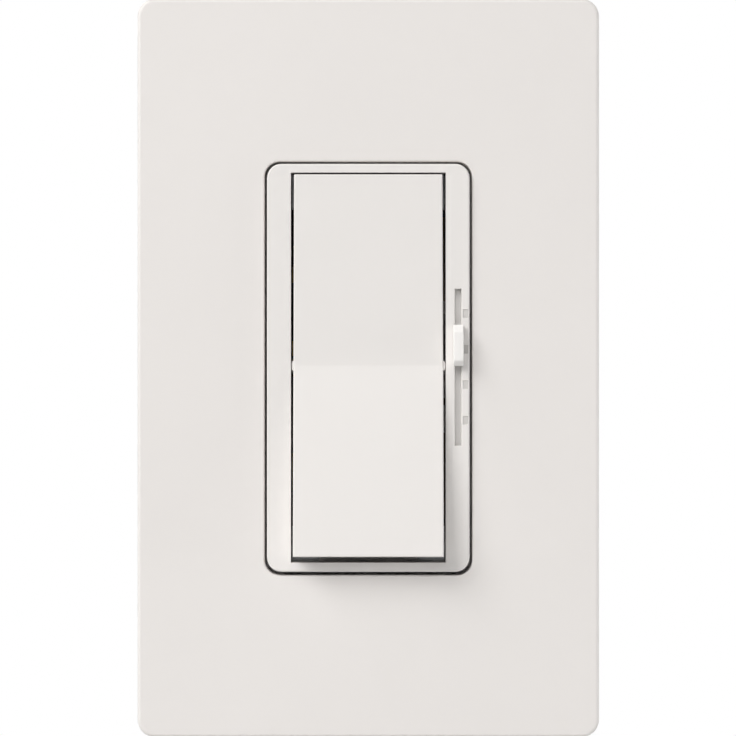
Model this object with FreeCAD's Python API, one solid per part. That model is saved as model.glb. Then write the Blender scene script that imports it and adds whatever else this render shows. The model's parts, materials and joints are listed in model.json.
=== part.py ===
import FreeCAD, Part
import math
import os

# A one-gang fan control: paddle switch, speed slide, device frame and screwless wall plate.
# Millimetres. X is the viewer's right, Z is up, and the front faces -Y.
# The wall is the plane Y = 0, and the origin is the middle of the wall plate on that plane.

V = FreeCAD.Vector

# Wall plate
plate_width = 74.6
plate_height = 119.1
plate_depth = 7.6
plate_corner = 3.0
plate_draft = 0.15
plate_edge_round = 0.9
plate_front_wall = 1.9
plate_side_wall = 1.8
opening_width = 33.3
opening_height = 66.8
opening_corner = 2.75
opening_edge_round = 1.0
edge_steps = 3
collar_wall = 1.5
collar_depth = 4.0
cover_rib = 1.0
cover_rib_depth = 1.2
cover_rib_spacing = 42.0

# Adapter under the wall plate
adapter_thickness = 1.8
adapter_gap = 0.6
adapter_skirt = 1.4
adapter_corner = 1.6
adapter_opening_corner = 4.0
adapter_notch = 8.0
snap_length = 10.0
snap_reach = 0.45
snap_thickness = 0.9
snap_gap = 0.2
snap_spacing = 30.0

# Mounting strap
yoke_thickness = 1.5
yoke_width = 44.0
yoke_body_height = 75.0
strap_end_gap = 2.75
ear_width = 30.0
ear_tab_reach = 5.0
ear_tab_height = 8.0
ear_tab_gap = 0.8
ear_neck = 2.4
yoke_corner = 2.5
aperture_height = 52.0
aperture_corner = 2.0
box_screw_spacing = 83.3
plate_screw_spacing = 96.8
box_slot_length = 7.4
box_slot_height = 4.2
ground_tab_length = 8.0
ground_tab_depth = 8.5
ground_tab_drop = 1.5
ground_hole_margin = 2.6

# Screws
thread_radius = 1.75
thread_clearance = 0.06
box_screw_length = 25.0
box_screw_head = 3.3
box_screw_head_height = 2.0
box_screw_neck = 1.45
box_screw_thread_start = 0.45
plate_screw_length = 10.0
plate_screw_head = 2.95
plate_screw_head_height = 1.15
screw_slot_width = 0.8
screw_slot_depth = 0.7
head_clearance = 0.15
retainer_size = 9.0
retainer_thickness = 0.4

# Device face
bezel_side_gap = 0.33
bezel_end_gap = 0.45
bezel_corner = 2.2
bezel_proud = 0.8
bezel_face = 1.2
bezel_edge_bevel = 0.25
bezel_top_margin = 1.42
bezel_bottom_margin = 1.56
bezel_end_wall = 0.8
flange_reach = 2.7
flange_thickness = 1.5
flange_clearance = 0.75
leg_width = 4.0
leg_thickness = 1.2
leg_spacing = 16.0
leg_clearance = 0.25
leg_hook = 0.7
leg_hook_height = 1.0
leg_root = 0.5

# Paddle
paddle_opening_width = 25.0
paddle_side_gap = 0.42
paddle_end_gap = 0.25
paddle_top_taper = 0.1
paddle_tilt = 4.2
paddle_face_wall = 1.6
paddle_side_wall = 1.2
paddle_skirt = 4.6
paddle_edge_round = 0.22
paddle_stop_gap = 0.15
pivot_behind_face = 4.4
pivot_radius = 1.1
pivot_clearance = 0.05
pivot_ear = 2.3
pivot_end_clearance = 0.2
pivot_mouth = 1.9
lug_radius = 0.8
lug_reach = 0.3
lug_setback = 0.4
paddle_rib = 1.0
paddle_rib_back = 1.4
rib_spacing = 11.0

# Plunger in the paddle
sleeve_radius = 2.7
sleeve_back = 6.5
sleeve_floor = 0.8
plunger_radius = 1.8
plunger_clearance = 0.1
plunger_tip = 0.7
plunger_tip_length = 2.0
plunger_front = 0.5
plunger_bore = 1.35
plunger_bore_depth = 6.0
plunger_tip_gap = 0.08
spring_wire = 0.24
spring_turns = 6
chords_per_turn = 14
spring_end_gap = 0.1

# Contacts of the switch
rocker_depth = 11.0
rocker_thickness = 0.8
rocker_width = 7.0
rocker_half_length = 10.0
rocker_tilt = 5.0
rocker_tab_half = 1.0
rocker_tab_reach = 1.8
rocker_corner = 1.5
contact_offset = 8.5
contact_length = 3.2
contact_width = 1.4
contact_height = 0.7
contact_gap = 0.15
conductor = 1.2
bracket_half_height = 3.0
bracket_notch_gap = 0.3
bracket_seat_gap = 0.15
bracket_ear_rise = 0.8
bracket_side_gap = 0.5
bracket_drop = 0.8
bracket_arm_width = 2.9
traveller_arm = 4.0
traveller_inset = 0.3
contact_margin = 0.8
load_bar = 2.5
load_jog = 2.4
load_jog_width = 2.0
load_jog_gap = 4.0
load_landing = 1.2

# Slide of the speed control
slot_inset = 1.76
slot_width = 1.15
slot_length = 25.35
slot_lift = 0.16
slot_end_clearance = 0.15
channel_width = 1.94
mark_width = 0.87
mark_height = 1.45
mark_depth = 0.25
mark_gap = 0.15
mark_spacing = 5.73
mark_count = 4
knob_width = 1.63
knob_height = 6.65
knob_proud = 2.0
knob_face_gap = 0.15
knob_bevel_height = 1.0
knob_bevel_depth = 1.1
knob_edge_round = 0.18
stem_length = 6.3
stem_clearance = 0.12
stem_socket_clearance = 0.03
stem_socket_depth = 2.2
slider_rest = 3.49
shutter_thickness = 0.9
shutter_clearance = 0.15
shutter_overlap = 0.3
carriage_length = 10.0
carriage_width = 4.3
carriage_back = 1.3
carriage_gap = 0.3
wiper_width = 1.4
wiper_inset = 0.2
wiper_leaf = 0.25
wiper_gap = 0.1
detent_leaf = 0.25
detent_bow = 0.35
detent_recess = 0.5
detent_shoulder = 1.0
detent_gap = 0.15

# Speed board and what it carries
board_front = 3.0
board_thickness = 1.6
board_height = 50.0
board_wall_gap = 0.4
track_thickness = 0.1
track_width = 1.7
track_length = 30.0
pad_height = 4.6
large_capacitor = (15.0, 19.0)
small_capacitor = (12.5, 16.0)
capacitor_gap = 0.9
small_capacitor_inset = 1.0
capacitor_standoff = 2.5
resistor_size = 2.0
resistor_length = 6.5
resistor_spacing = 2.3
resistor_standoff = 0.3
resistor_shift = 1.2
resistor_lead = 0.5
resistor_lead_reach = 1.0
sheet_thickness = 0.4
sheet_gap = 0.3
sheet_border = 1.64

# Back housing
housing_width = 43.0
housing_height = 66.0
housing_depth = 29.5
housing_wall = 1.7
housing_floor = 1.8
housing_draft = 0.5
housing_corner = 3.0
housing_back_round = 1.5
boss_inset = 3.6
boss_radius = 2.6
housing_screw_radius = 1.25
housing_screw_head = 2.1
housing_screw_head_height = 1.5
housing_screw_clearance = 0.1
rail_width = 1.8
rail_thickness = 2.0
pocket_height = 11.0
pocket_spacing = 19.0
pocket_front = 2.4
pocket_length = 13.4
pocket_depth = 4.6
pocket_wall = 1.2
pocket_core = 0.3
terminal_plate = 1.0
terminal_side_gap = 1.0
terminal_overhang = 0.6
clamp_thickness = 0.9
clamp_size = 8.4
terminal_head = 3.4
terminal_head_height = 1.9
terminal_screw_length = 7.0
base_side_gap = 0.5
base_wall = 1.4
base_height = 48.0
base_floor = 1.5
base_rib = 1.2
base_rib_spacing = 16.0
base_margin = 0.6
board_lap = 0.7
fit_gap = 0.1

# Planes and places that follow from these sizes
plate_front = -plate_depth
yoke_front = -yoke_thickness
adapter_front = yoke_front - adapter_thickness
yoke_length = plate_height - 2 * (plate_side_wall + adapter_gap + adapter_skirt + strap_end_gap)
bezel_front = plate_front - bezel_proud
bezel_width = opening_width - 2 * bezel_side_gap
bezel_height = opening_height - 2 * bezel_end_gap
face_back = bezel_front + bezel_face
flange_width = bezel_width + 2 * flange_reach
flange_height = bezel_height + 2 * flange_reach
flange_front = yoke_front - flange_thickness
paddle_top = bezel_height / 2 - bezel_top_margin
paddle_bottom = -bezel_height / 2 + bezel_bottom_margin
pivot_z = (paddle_top + paddle_bottom) / 2
pivot_y = bezel_front + pivot_behind_face
tilt = math.radians(paddle_tilt)
crease = pivot_behind_face / math.cos(tilt)
paddle_half = (paddle_top - paddle_bottom) / 2 - paddle_end_gap - crease * math.sin(tilt)
paddle_width = paddle_opening_width - 2 * paddle_side_gap
slot_x = bezel_width / 2 - slot_inset
channel_inner = slot_x - channel_width / 2
channel_end = bezel_height / 2 - bezel_end_wall
slider_travel = slot_length - stem_length - 2 * slot_end_clearance
slider_z = slot_lift + slider_rest
shutter_width = channel_width - 2 * shutter_clearance
shutter_length = slot_length + slider_travel + 2 * shutter_overlap
shutter_front = face_back + shutter_clearance
shutter_back = shutter_front + shutter_thickness
carriage_front = yoke_front + carriage_gap
aperture_half = slot_x + carriage_width / 2 + 2 * detent_gap + detent_bow
leg_z = flange_height / 2 - leg_thickness / 2 - leg_clearance
cavity_width = housing_width - 2 * (housing_wall + housing_draft)
cavity_height = housing_height - 2 * (housing_wall + housing_draft)
floor_y = housing_depth - housing_floor
boss_z = housing_height / 2 - boss_inset
board_back = board_front + board_thickness
rocker_front = rocker_depth - rocker_thickness
plunger_end = rocker_front - plunger_tip_gap - pivot_y
contact_throw = (contact_offset + contact_width / 2) * math.sin(math.radians(rocker_tilt))
contact_plane = rocker_depth + contact_height + contact_throw + contact_gap
traveller_y = contact_plane + contact_height
traveller_back = traveller_y + conductor
bracket_x = rocker_width / 2 + bracket_side_gap
bracket_base = traveller_back + bracket_drop
base_front = bracket_base + conductor
base_right = bracket_x + conductor + base_wall + base_margin
base_left = -(housing_width / 2 - pocket_depth - pocket_wall - base_side_gap)
pocket_x = -(housing_width / 2 - pocket_depth)
pocket_screw_y = pocket_front + pocket_length / 2
pocket_edge = pocket_height / 2 - terminal_side_gap
board_left = base_right - board_lap
board_right = cavity_width / 2 - board_wall_gap
tap_radius = thread_radius + thread_clearance
ground_y = ground_tab_depth - thread_radius - ground_hole_margin
ground_z = -(box_screw_spacing / 2 + ground_tab_drop)
wiper_offset = carriage_width / 2 - wiper_inset - wiper_width / 2


# Small helpers for shapes

def box(x0, x1, y0, y1, z0, z1):
    """A block between two corners."""
    return Part.makeBox(x1 - x0, y1 - y0, z1 - z0, V(x0, y0, z0))


def block(cx, cz, width, height, y0, y1):
    """A block round a centre as seen from the front, between two depths."""
    return box(cx - width / 2, cx + width / 2, y0, y1, cz - height / 2, cz + height / 2)


def rounded_outline(width, height, radius, y):
    """A closed wire in a plane of constant Y: a rectangle with arcs at its corners."""
    a, b = width / 2, height / 2
    inset = radius * (1 - math.sqrt(0.5))
    edges = []
    corners = ((1, 1), (-1, 1), (-1, -1), (1, -1))
    for index, (sx, sz) in enumerate(corners):
        side = V(sx * a, y, sz * (b - radius))
        middle = V(sx * (a - inset), y, sz * (b - inset))
        end = V(sx * (a - radius), y, sz * b)
        first, last = (side, end) if sx * sz > 0 else (end, side)
        edges.append(Part.Arc(first, middle, last).toShape())
        nx, nz = corners[(index + 1) % 4]
        if sx != nx:
            follow = V(nx * (a - radius), y, nz * b)
        else:
            follow = V(nx * a, y, nz * (b - radius))
        edges.append(Part.LineSegment(last, follow).toShape())
    return Part.Wire(edges)


def rounded_slab(width, height, radius, y0, y1, cx=0.0, cz=0.0):
    """A plate with round corners between two depths."""
    slab = Part.Face(rounded_outline(width, height, radius, y0)).extrude(V(0, y1 - y0, 0))
    return slab.translated(V(cx, 0, cz))


def rod_y(radius, x, z, y0, y1):
    """A cylinder along Y."""
    return Part.makeCylinder(radius, y1 - y0, V(x, y0, z), V(0, 1, 0))


def rod_x(radius, y, z, x0, x1):
    """A cylinder along X."""
    return Part.makeCylinder(radius, x1 - x0, V(x0, y, z), V(1, 0, 0))


def side_profile(points, x0, x1):
    """A prism along X from (y, z) points."""
    outline = Part.makePolygon([V(x0, y, z) for y, z in points] + [V(x0, *points[0])])
    return Part.Face(outline).extrude(V(x1 - x0, 0, 0))


def joined(shapes):
    """One solid from overlapping shapes, with the seams between coplanar faces removed."""
    return shapes[0].fuse(shapes[1:]).removeSplitter()


def both_ways(shape, normal):
    """A shape and its mirror image in a plane through the origin."""
    return [shape, shape.mirror(V(0, 0, 0), normal)]


def edges_in_plane(shape, y, half_width, half_height):
    """The edges that lie in one plane of constant Y and inside a rectangle."""
    found = []
    for edge in shape.Edges:
        bounds = edge.BoundBox
        flat = abs(bounds.YMin - y) < 1e-4 and abs(bounds.YMax - y) < 1e-4
        wide = max(abs(bounds.XMin), abs(bounds.XMax)) <= half_width + 1e-3
        tall = max(abs(bounds.ZMin), abs(bounds.ZMax)) <= half_height + 1e-3
        if flat and wide and tall:
            found.append(edge)
    return found


def twelve_sided(radius, length):
    """The threaded part of a screw as a twelve-sided prism along Y, since its thread isn't cut."""
    corners = [V(radius * math.cos(a), -fit_gap, radius * math.sin(a))
               for a in (math.radians(30 * step) for step in range(13))]
    return Part.Face(Part.makePolygon(corners)).extrude(V(0, length + fit_gap, 0))


def slotted_screw(head, head_radius, head_height, shank):
    """A screw along +Y with its seat at the origin: a shank, and a head towards -Y with a slot in it."""
    floor = screw_slot_depth - head_height
    slot = block(0, 0, 2.2 * head_radius, screw_slot_width, -head_height - 1, floor)
    return joined([head, shank]).cut(slot)


def round_headed(head_radius, head_height, shank):
    """A screw along +Y with a cylindrical head."""
    head = rod_y(head_radius, 0, 0, -head_height, 0)
    return slotted_screw(head, head_radius, head_height, shank)


def turned_to_x(shape):
    """Turns +Y to +X."""
    return shape.rotated(V(0, 0, 0), V(0, 0, 1), -90)


# Wall plate and adapter

def quarter_round(radius, steps):
    """Pairs (along, across) that step round a quarter circle, from the side onto the face."""
    turns = [math.radians(90 * step / steps) for step in range(steps + 1)]
    return [(radius * (1 - math.sin(turn)), radius * (1 - math.cos(turn))) for turn in turns]


def plate_sections():
    """Outlines of the cover from the wall to its face: a slight draft, then the rounded edge."""
    sections = [rounded_outline(plate_width, plate_height, plate_corner, 0)]
    for along, across in quarter_round(plate_edge_round, edge_steps):
        lean = plate_draft + across
        sections.append(rounded_outline(plate_width - 2 * lean, plate_height - 2 * lean,
                                        plate_corner - across, plate_front + along))
    return sections


def opening_sections():
    """Outlines of the space cut for the device: straight, then flared by the opening's rounded edge."""
    sections = [rounded_outline(opening_width, opening_height, opening_corner, 1)]
    for along, across in quarter_round(opening_edge_round, edge_steps):
        sections.append(rounded_outline(opening_width + 2 * across, opening_height + 2 * across,
                                        opening_corner + across, plate_front + along))
    return sections


def wallplate_cover():
    """The snap-on shell: drafted sides, rounded edges, collar round the opening, ribs, ledges."""
    shell = Part.makeLoft(plate_sections(), True, True)
    inner_face = plate_front + plate_front_wall
    cavity_w = plate_width - 2 * plate_side_wall
    cavity_h = plate_height - 2 * plate_side_wall
    shell = shell.cut(rounded_slab(cavity_w, cavity_h, plate_corner - plate_side_wall, inner_face, 1))
    parts = [shell]
    parts.append(rounded_slab(opening_width + 2 * collar_wall, opening_height + 2 * collar_wall,
                              opening_corner + collar_wall, plate_front + 1, plate_front + collar_depth))
    rib_back = inner_face + cover_rib_depth
    for side in (-1, 1):
        parts.append(block(0, side * cover_rib_spacing, cavity_w + 1, cover_rib, inner_face - 0.5, rib_back))
        parts.append(block(side * (opening_width / 2 + collar_wall / 2), 0, cover_rib,
                           cavity_h + 1, inner_face - 0.5, rib_back))
    parts += cover_ledges(cavity_w, cavity_h)
    return joined(parts).cut(Part.makeLoft(opening_sections(), True, True))


def cover_ledges(cavity_w, cavity_h):
    """Ledges inside the cover that catch behind the adapter's bumps."""
    y0 = adapter_front + 3 * snap_gap + snap_thickness
    y1 = y0 + snap_thickness
    reach = 2 * snap_reach
    ledges = []
    for place in (-snap_spacing, snap_spacing):
        ledges += both_ways(block(cavity_w / 2, place, reach, snap_length, y0, y1), V(1, 0, 0))
        ledges += both_ways(block(place / 2, cavity_h / 2, snap_length, reach, y0, y1), V(0, 0, 1))
    return ledges


def plate_adapter():
    """The sub-plate: a frame with a skirt to the wall, screw seats and snap bumps."""
    width = plate_width - 2 * (plate_side_wall + adapter_gap)
    height = plate_height - 2 * (plate_side_wall + adapter_gap)
    frame = rounded_slab(width, height, adapter_corner, adapter_front, 0)
    hollow = rounded_slab(width - 2 * adapter_skirt, height - 2 * adapter_skirt, adapter_corner / 2,
                          yoke_front, 1)
    frame = joined([frame.cut(hollow)] + adapter_bumps(width, height))
    gap = 2 * flange_clearance
    frame = frame.cut(rounded_slab(flange_width + gap, flange_height + gap, adapter_opening_corner,
                                   adapter_front - 1, 1))
    notch_half = box_screw_head + head_clearance
    for side in (-1, 1):
        z = side * box_screw_spacing / 2
        frame = frame.cut(rod_y(notch_half, 0, z, adapter_front - 1, 1))
        frame = frame.cut(block(0, z - side * adapter_notch / 2, 2 * notch_half, adapter_notch,
                                adapter_front - 1, 1))
        z = side * plate_screw_spacing / 2
        frame = frame.cut(rod_y(tap_radius, 0, z, adapter_front - 1, 1))
        seat = Part.makeCone(plate_screw_head + thread_clearance, tap_radius, plate_screw_head_height,
                             V(0, adapter_front, z), V(0, 1, 0))
        frame = frame.cut(seat)
    return frame


def adapter_bumps(width, height):
    """Bumps round the adapter that the cover's ledges snap behind."""
    y0 = adapter_front + 2 * snap_gap
    y1 = y0 + snap_thickness
    reach = 2 * snap_reach
    bumps = []
    for place in (-snap_spacing, snap_spacing):
        bumps += both_ways(block(width / 2, place, reach, snap_length, y0, y1), V(1, 0, 0))
        bumps += both_ways(block(place / 2, height / 2, snap_length, reach, y0, y1), V(0, 0, 1))
    return bumps


def adapter_screws():
    """Two flat-head screws, flush with the adapter's front, into the yoke."""
    head = Part.makeCone(plate_screw_head, thread_radius, plate_screw_head_height,
                         V(0, -plate_screw_head_height, 0), V(0, 1, 0))
    shank = twelve_sided(thread_radius, plate_screw_length)
    screw = slotted_screw(head, plate_screw_head, plate_screw_head_height, shank)
    y = adapter_front + plate_screw_head_height
    return [screw.translated(V(0, y, side * plate_screw_spacing / 2)) for side in (-1, 1)]


# Mounting strap and its screws

def yoke():
    """The strap: body, ears with break-off tabs, aperture, slots, taps and ground tab."""
    z1 = yoke_length / 2
    strap = joined([rounded_slab(yoke_width, yoke_body_height, yoke_corner, yoke_front, 0),
                    rounded_slab(ear_width, yoke_length, yoke_corner, yoke_front, 0)])
    tab_z = z1 - ear_tab_height / 2
    wing_x = (ear_width + ear_tab_reach) / 2 + ear_tab_gap
    neck_x = (ear_width + ear_tab_gap) / 2
    for sx in (-1, 1):
        for sz in (-1, 1):
            wing = block(sx * wing_x, sz * tab_z, ear_tab_reach, ear_tab_height, yoke_front, 0)
            neck = block(sx * neck_x, sz * tab_z, 3 * ear_tab_gap, ear_neck, yoke_front, 0)
            strap = joined([strap, wing, neck])
    strap = strap.cut(rounded_slab(2 * aperture_half, aperture_height, aperture_corner, yoke_front - 1, 1))
    for side in (-1, 1):
        slot = rounded_slab(box_slot_length, box_slot_height, box_slot_height / 2 - 0.01, yoke_front - 1, 1,
                            0, side * box_screw_spacing / 2)
        strap = strap.cut(slot)
        strap = strap.cut(rod_y(tap_radius, 0, side * plate_screw_spacing / 2, yoke_front - 1, 1))
    for sz in (-1, 1):
        strap = strap.cut(rod_y(housing_screw_radius + thread_clearance, 0, sz * boss_z, yoke_front - 1, 1))
        for sx in (-1, 1):
            leg_slot = block(sx * leg_spacing / 2, sz * leg_z, leg_width + 2 * leg_clearance,
                             leg_thickness + 2 * leg_clearance, yoke_front - 1, 1)
            strap = strap.cut(leg_slot)
    z0 = ground_z - ground_tab_length / 2
    tab = box(-ear_width / 2, -ear_width / 2 + yoke_thickness, yoke_front, ground_tab_depth,
              z0, z0 + ground_tab_length)
    tab = tab.cut(rod_x(tap_radius, ground_y, ground_z, -ear_width, 0))
    return joined([strap, tab])


def terminal_screw():
    """A binding-head screw along X, as used for the ground and in the side pockets."""
    shank = twelve_sided(thread_radius, terminal_screw_length)
    return turned_to_x(round_headed(terminal_head, terminal_head_height, shank))


def ground_screw():
    """The green screw of the ground tab."""
    return [terminal_screw().translated(V(-ear_width / 2, ground_y, ground_z))]


def box_screws():
    """Two long screws that fasten the strap to the wall box, held captive by a neck under the head."""
    thread_start = box_screw_thread_start - yoke_front
    neck = rod_y(box_screw_neck, 0, 0, -fit_gap, thread_start + fit_gap)
    shank = joined([neck, rod_y(thread_radius, 0, 0, thread_start, box_screw_length)])
    screw = round_headed(box_screw_head, box_screw_head_height, shank)
    return [screw.translated(V(0, yoke_front, side * box_screw_spacing / 2)) for side in (-1, 1)]


def screw_retainers():
    """Two fibre squares round the necks of the box screws, behind the strap."""
    squares = []
    for side in (-1, 1):
        z = side * box_screw_spacing / 2
        square = block(0, z, retainer_size, retainer_size, 0, retainer_thickness)
        squares.append(square.cut(rod_y(box_screw_neck + thread_clearance, 0, z, -1, 1)))
    return squares


# Device face

def front_bezel():
    """The device face: paddle opening, slot, marks, slide channels, bearings, flange and legs."""
    body = rounded_slab(bezel_width, bezel_height, bezel_corner, bezel_front, yoke_front)
    body = body.makeChamfer(bezel_edge_bevel, edges_in_plane(body, bezel_front, bezel_width, bezel_height))
    flange = rounded_slab(flange_width, flange_height, bezel_corner + flange_reach, flange_front, yoke_front)
    shapes = [body, flange] + bezel_legs()
    body = joined(shapes)
    height = paddle_top - paddle_bottom
    body = body.cut(block(0, pivot_z, paddle_opening_width, height, bezel_front - 1, 1))
    for side in (-1, 1):
        body = body.cut(block(side * slot_x, 0, channel_width, 2 * channel_end, face_back, 1))
    body = joined([body] + paddle_stops())
    body = body.cut(block(slot_x, slot_lift, slot_width, slot_length, bezel_front - 1, face_back + 1))
    for mark_z in mark_places():
        mark_x = slot_x + slot_width / 2 + mark_gap + mark_width / 2
        mark = block(mark_x, mark_z, mark_width, mark_height, bezel_front - 1, bezel_front + mark_depth)
        body = body.cut(mark)
    bearing = rod_x(pivot_radius + pivot_clearance, pivot_y, pivot_z, -channel_inner, channel_inner)
    mouth = block(0, pivot_z, 2 * channel_inner, pivot_mouth, pivot_y, 1)
    return body.cut(bearing).cut(mouth)


def mark_places():
    """Heights of the speed marks, evenly spaced about the slot's middle."""
    return [slot_lift + (index - (mark_count - 1) / 2) * mark_spacing for index in range(mark_count)]


def bezel_legs():
    """Four hooked legs that pass through the strap and catch behind it."""
    legs = []
    for sx in (-1, 1):
        for sz in (-1, 1):
            cx = sx * leg_spacing / 2
            end = fit_gap + leg_hook_height
            hook_z = sz * (leg_z + leg_hook / 2)
            legs.append(block(cx, sz * leg_z, leg_width, leg_thickness, flange_front + leg_root, end))
            legs.append(block(cx, hook_z, leg_width, leg_thickness + leg_hook, fit_gap, end))
    return legs


def paddle_stops():
    """Ledges behind the paddle's ends that it comes to rest on."""
    y0 = bezel_front + paddle_skirt + paddle_stop_gap
    reach = paddle_end_gap + paddle_side_wall
    half = leg_spacing / 2
    top = box(-half, half, y0, yoke_front, paddle_top - reach, paddle_top + fit_gap)
    bottom = box(-half, half, y0, yoke_front, paddle_bottom - fit_gap, paddle_bottom + reach)
    return [top, bottom]


# Paddle and what it carries, modelled level about its pivot and then tilted to rest

def at_rest(shape):
    """Tilts a level paddle piece to its rest pose, with the upper half flush, and puts it in place."""
    turned = shape.rotated(V(0, 0, 0), V(1, 0, 0), -paddle_tilt)
    return turned.translated(V(0, pivot_y, pivot_z))


def paddle_points(setback, shorter, depth):
    """Points (y, z) of the upper half of the level V section, set back from the face and shortened."""
    s, c = math.sin(tilt), math.cos(tilt)
    length = paddle_half - shorter
    upper_front = (-crease - length * s + setback * c, length * c + setback * s)
    upper_back = (-crease - length * s + depth * c, length * c + depth * s)
    return [(-crease + setback / c, 0), upper_front, upper_back, (-crease + depth / c, 0)]


def paddle_half_shell(taper):
    """One half of the paddle as a solid, above the crease, with its visible rim rounded."""
    half = paddle_width / 2
    body = side_profile(paddle_points(0, 0, paddle_skirt), -half, half)
    if taper:
        height = paddle_half + paddle_skirt
        narrow = half - taper * height / paddle_half
        front = -crease - paddle_skirt
        plan = [V(-half, front, 0), V(half, front, 0), V(narrow, front, height), V(-narrow, front, height)]
        body = body.common(Part.Face(Part.makePolygon(plan + [plan[0]])).extrude(V(0, 4 * paddle_skirt, 0)))
    return body.makeFillet(paddle_edge_round, face_rim(body))


def face_rim(body):
    """The edges round a paddle half's visible face, apart from the crease."""
    rim = []
    for edge in body.Edges:
        middle = edge.valueAt((edge.FirstParameter + edge.LastParameter) / 2)
        on_face = abs(middle.y + crease + middle.z * math.tan(tilt)) < 0.02
        if on_face and middle.z > 1:
            rim.append(edge)
    return rim


def paddle():
    """The paddle: a V-shaped shell with ribs, pivot stubs and the plunger's sleeve."""
    half = paddle_width / 2
    upper = paddle_half_shell(paddle_top_taper)
    lower = paddle_half_shell(0).mirror(V(0, 0, 0), V(0, 0, 1))
    inner = half - paddle_side_wall - paddle_top_taper
    room = side_profile(paddle_points(paddle_face_wall, paddle_side_wall, 2 * paddle_skirt), -inner, inner)
    shell = joined([upper, lower]).cut(room).cut(room.mirror(V(0, 0, 0), V(0, 0, 1)))
    face_inside = -crease + paddle_face_wall
    parts = [shell]
    rib_front = face_inside - fit_gap
    span = 2 * (inner + fit_gap)
    for step in (-2, -1, 1, 2):
        z = step * rib_spacing
        forward = abs(z) * math.sin(tilt)
        parts.append(block(0, z, span, paddle_rib, rib_front - forward, -forward - paddle_rib_back))
    parts.append(block(0, 0, span, paddle_rib, rib_front, pivot_radius))
    stub_end = channel_inner - pivot_end_clearance
    ear = ((-1, -2 * pivot_ear), (-1, 2 * pivot_ear), (pivot_ear, pivot_ear / 2), (pivot_ear, -pivot_ear / 2))
    for side in (-1, 1):
        x0, x1 = sorted((side * (inner - fit_gap), side * (half - fit_gap)))
        parts.append(side_profile(ear, x0, x1))
        x0, x1 = sorted((side * inner, side * stub_end))
        parts.append(rod_x(pivot_radius, 0, 0, x0, x1))
        lug_x = side * (half + lug_reach - lug_radius)
        parts.append(rod_y(lug_radius, lug_x, 0, -crease + lug_setback, 0))
    parts.append(rod_y(sleeve_radius, 0, 0, rib_front, sleeve_back))
    body = joined(parts)
    bore = rod_y(plunger_radius + plunger_clearance, 0, 0, face_inside + sleeve_floor, sleeve_back + 1)
    return [at_rest(body.cut(bore))]


def plunger():
    """The pin in the paddle's sleeve: hollow for its spring, with a tapered nose."""
    straight_end = plunger_end - plunger_tip_length
    body = rod_y(plunger_radius, 0, 0, plunger_front, straight_end)
    nose = Part.makeCone(plunger_radius, plunger_tip, plunger_tip_length, V(0, straight_end, 0), V(0, 1, 0))
    body = joined([body, nose])
    bore = rod_y(plunger_bore, 0, 0, plunger_front - 1, plunger_front + plunger_bore_depth)
    return [at_rest(body.cut(bore))]


def plunger_spring():
    """The square-wire coil between the sleeve's floor and the plunger's bore, wound in short chords."""
    y0 = -crease + paddle_face_wall + sleeve_floor + spring_end_gap + spring_wire
    y1 = plunger_front + plunger_bore_depth - spring_end_gap - spring_wire
    radius = plunger_bore - spring_end_gap - spring_wire
    points = []
    for step in range(spring_turns * chords_per_turn + 1):
        angle = 2 * math.pi * step / chords_per_turn
        along = step / (spring_turns * chords_per_turn)
        points.append(V(radius * math.cos(angle), y0 + (y1 - y0) * along, radius * math.sin(angle)))
    corners = ((1, 1), (-1, 1), (-1, -1), (1, -1))
    section = [points[0] + V(sx * spring_wire, sy * spring_wire, 0) for sx, sy in corners]
    outline = Part.makePolygon(section + [section[0]])
    coil = Part.makePolygon(points).makePipeShell([outline], True, False, 1)
    return [at_rest(coil)]


# Contacts of the switch

def rocked(shape):
    """Tilts a level rocker piece about its fulcrum to the rest pose, lower end in."""
    return shape.rotated(V(0, rocker_depth, 0), V(1, 0, 0), rocker_tilt).translated(V(0, 0, pivot_z))


def contact_rocker():
    """The seesaw: a plate with side tabs that sit in the bracket's notches."""
    plate = rounded_slab(rocker_width, 2 * rocker_half_length, rocker_corner, rocker_front, rocker_depth)
    tab_span = rocker_width + 2 * rocker_tab_reach
    tabs = block(0, 0, tab_span, 2 * rocker_tab_half, rocker_front, rocker_depth)
    return [rocked(joined([plate, tabs]))]


def moving_contacts():
    """Two contact bars across the rocker's back."""
    back = rocker_depth + contact_height
    bars = []
    for side in (-1, 1):
        bar = block(0, side * contact_offset, contact_length, contact_width, rocker_depth, back)
        bars.append(rocked(bar))
    return bars


def fulcrum_bracket():
    """The common conductor: two notched ears, a base, and an arm that rises to the board."""
    ears = []
    ear_front = rocker_front - bracket_ear_rise
    notch_height = 2 * (rocker_tab_half + bracket_notch_gap)
    notch_floor = rocker_depth + bracket_seat_gap
    for side in (-1, 1):
        cx = side * (bracket_x + conductor / 2)
        ear = block(cx, pivot_z, conductor, 2 * bracket_half_height, ear_front, base_front)
        notch = block(cx, pivot_z, 2 * conductor, notch_height, ear_front - 1, notch_floor)
        ears.append(ear.cut(notch))
    half_span = bracket_x + conductor
    base = block(0, pivot_z, 2 * half_span, 2 * bracket_half_height, bracket_base, base_front)
    arm_z1 = pivot_z - bracket_half_height
    arm_z0 = arm_z1 - bracket_arm_width
    riser_x = base_right + fit_gap
    arm = box(-half_span, riser_x + conductor, bracket_base, base_front, arm_z0, arm_z1)
    riser = box(riser_x, riser_x + conductor, board_back, base_front, arm_z0, arm_z1)
    return [joined(ears + [base, arm, riser])]


def side_plate(centre_z, y0, y1):
    """A terminal plate on the floor of a side pocket."""
    return box(pocket_x - terminal_plate, pocket_x, y0, y1, centre_z - pocket_edge, centre_z + pocket_edge)


def screw_hole(centre_z):
    """The threaded hole of a terminal plate."""
    return rod_x(tap_radius, pocket_screw_y, centre_z, pocket_x - 2 * terminal_plate, pocket_x + 1)


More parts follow.
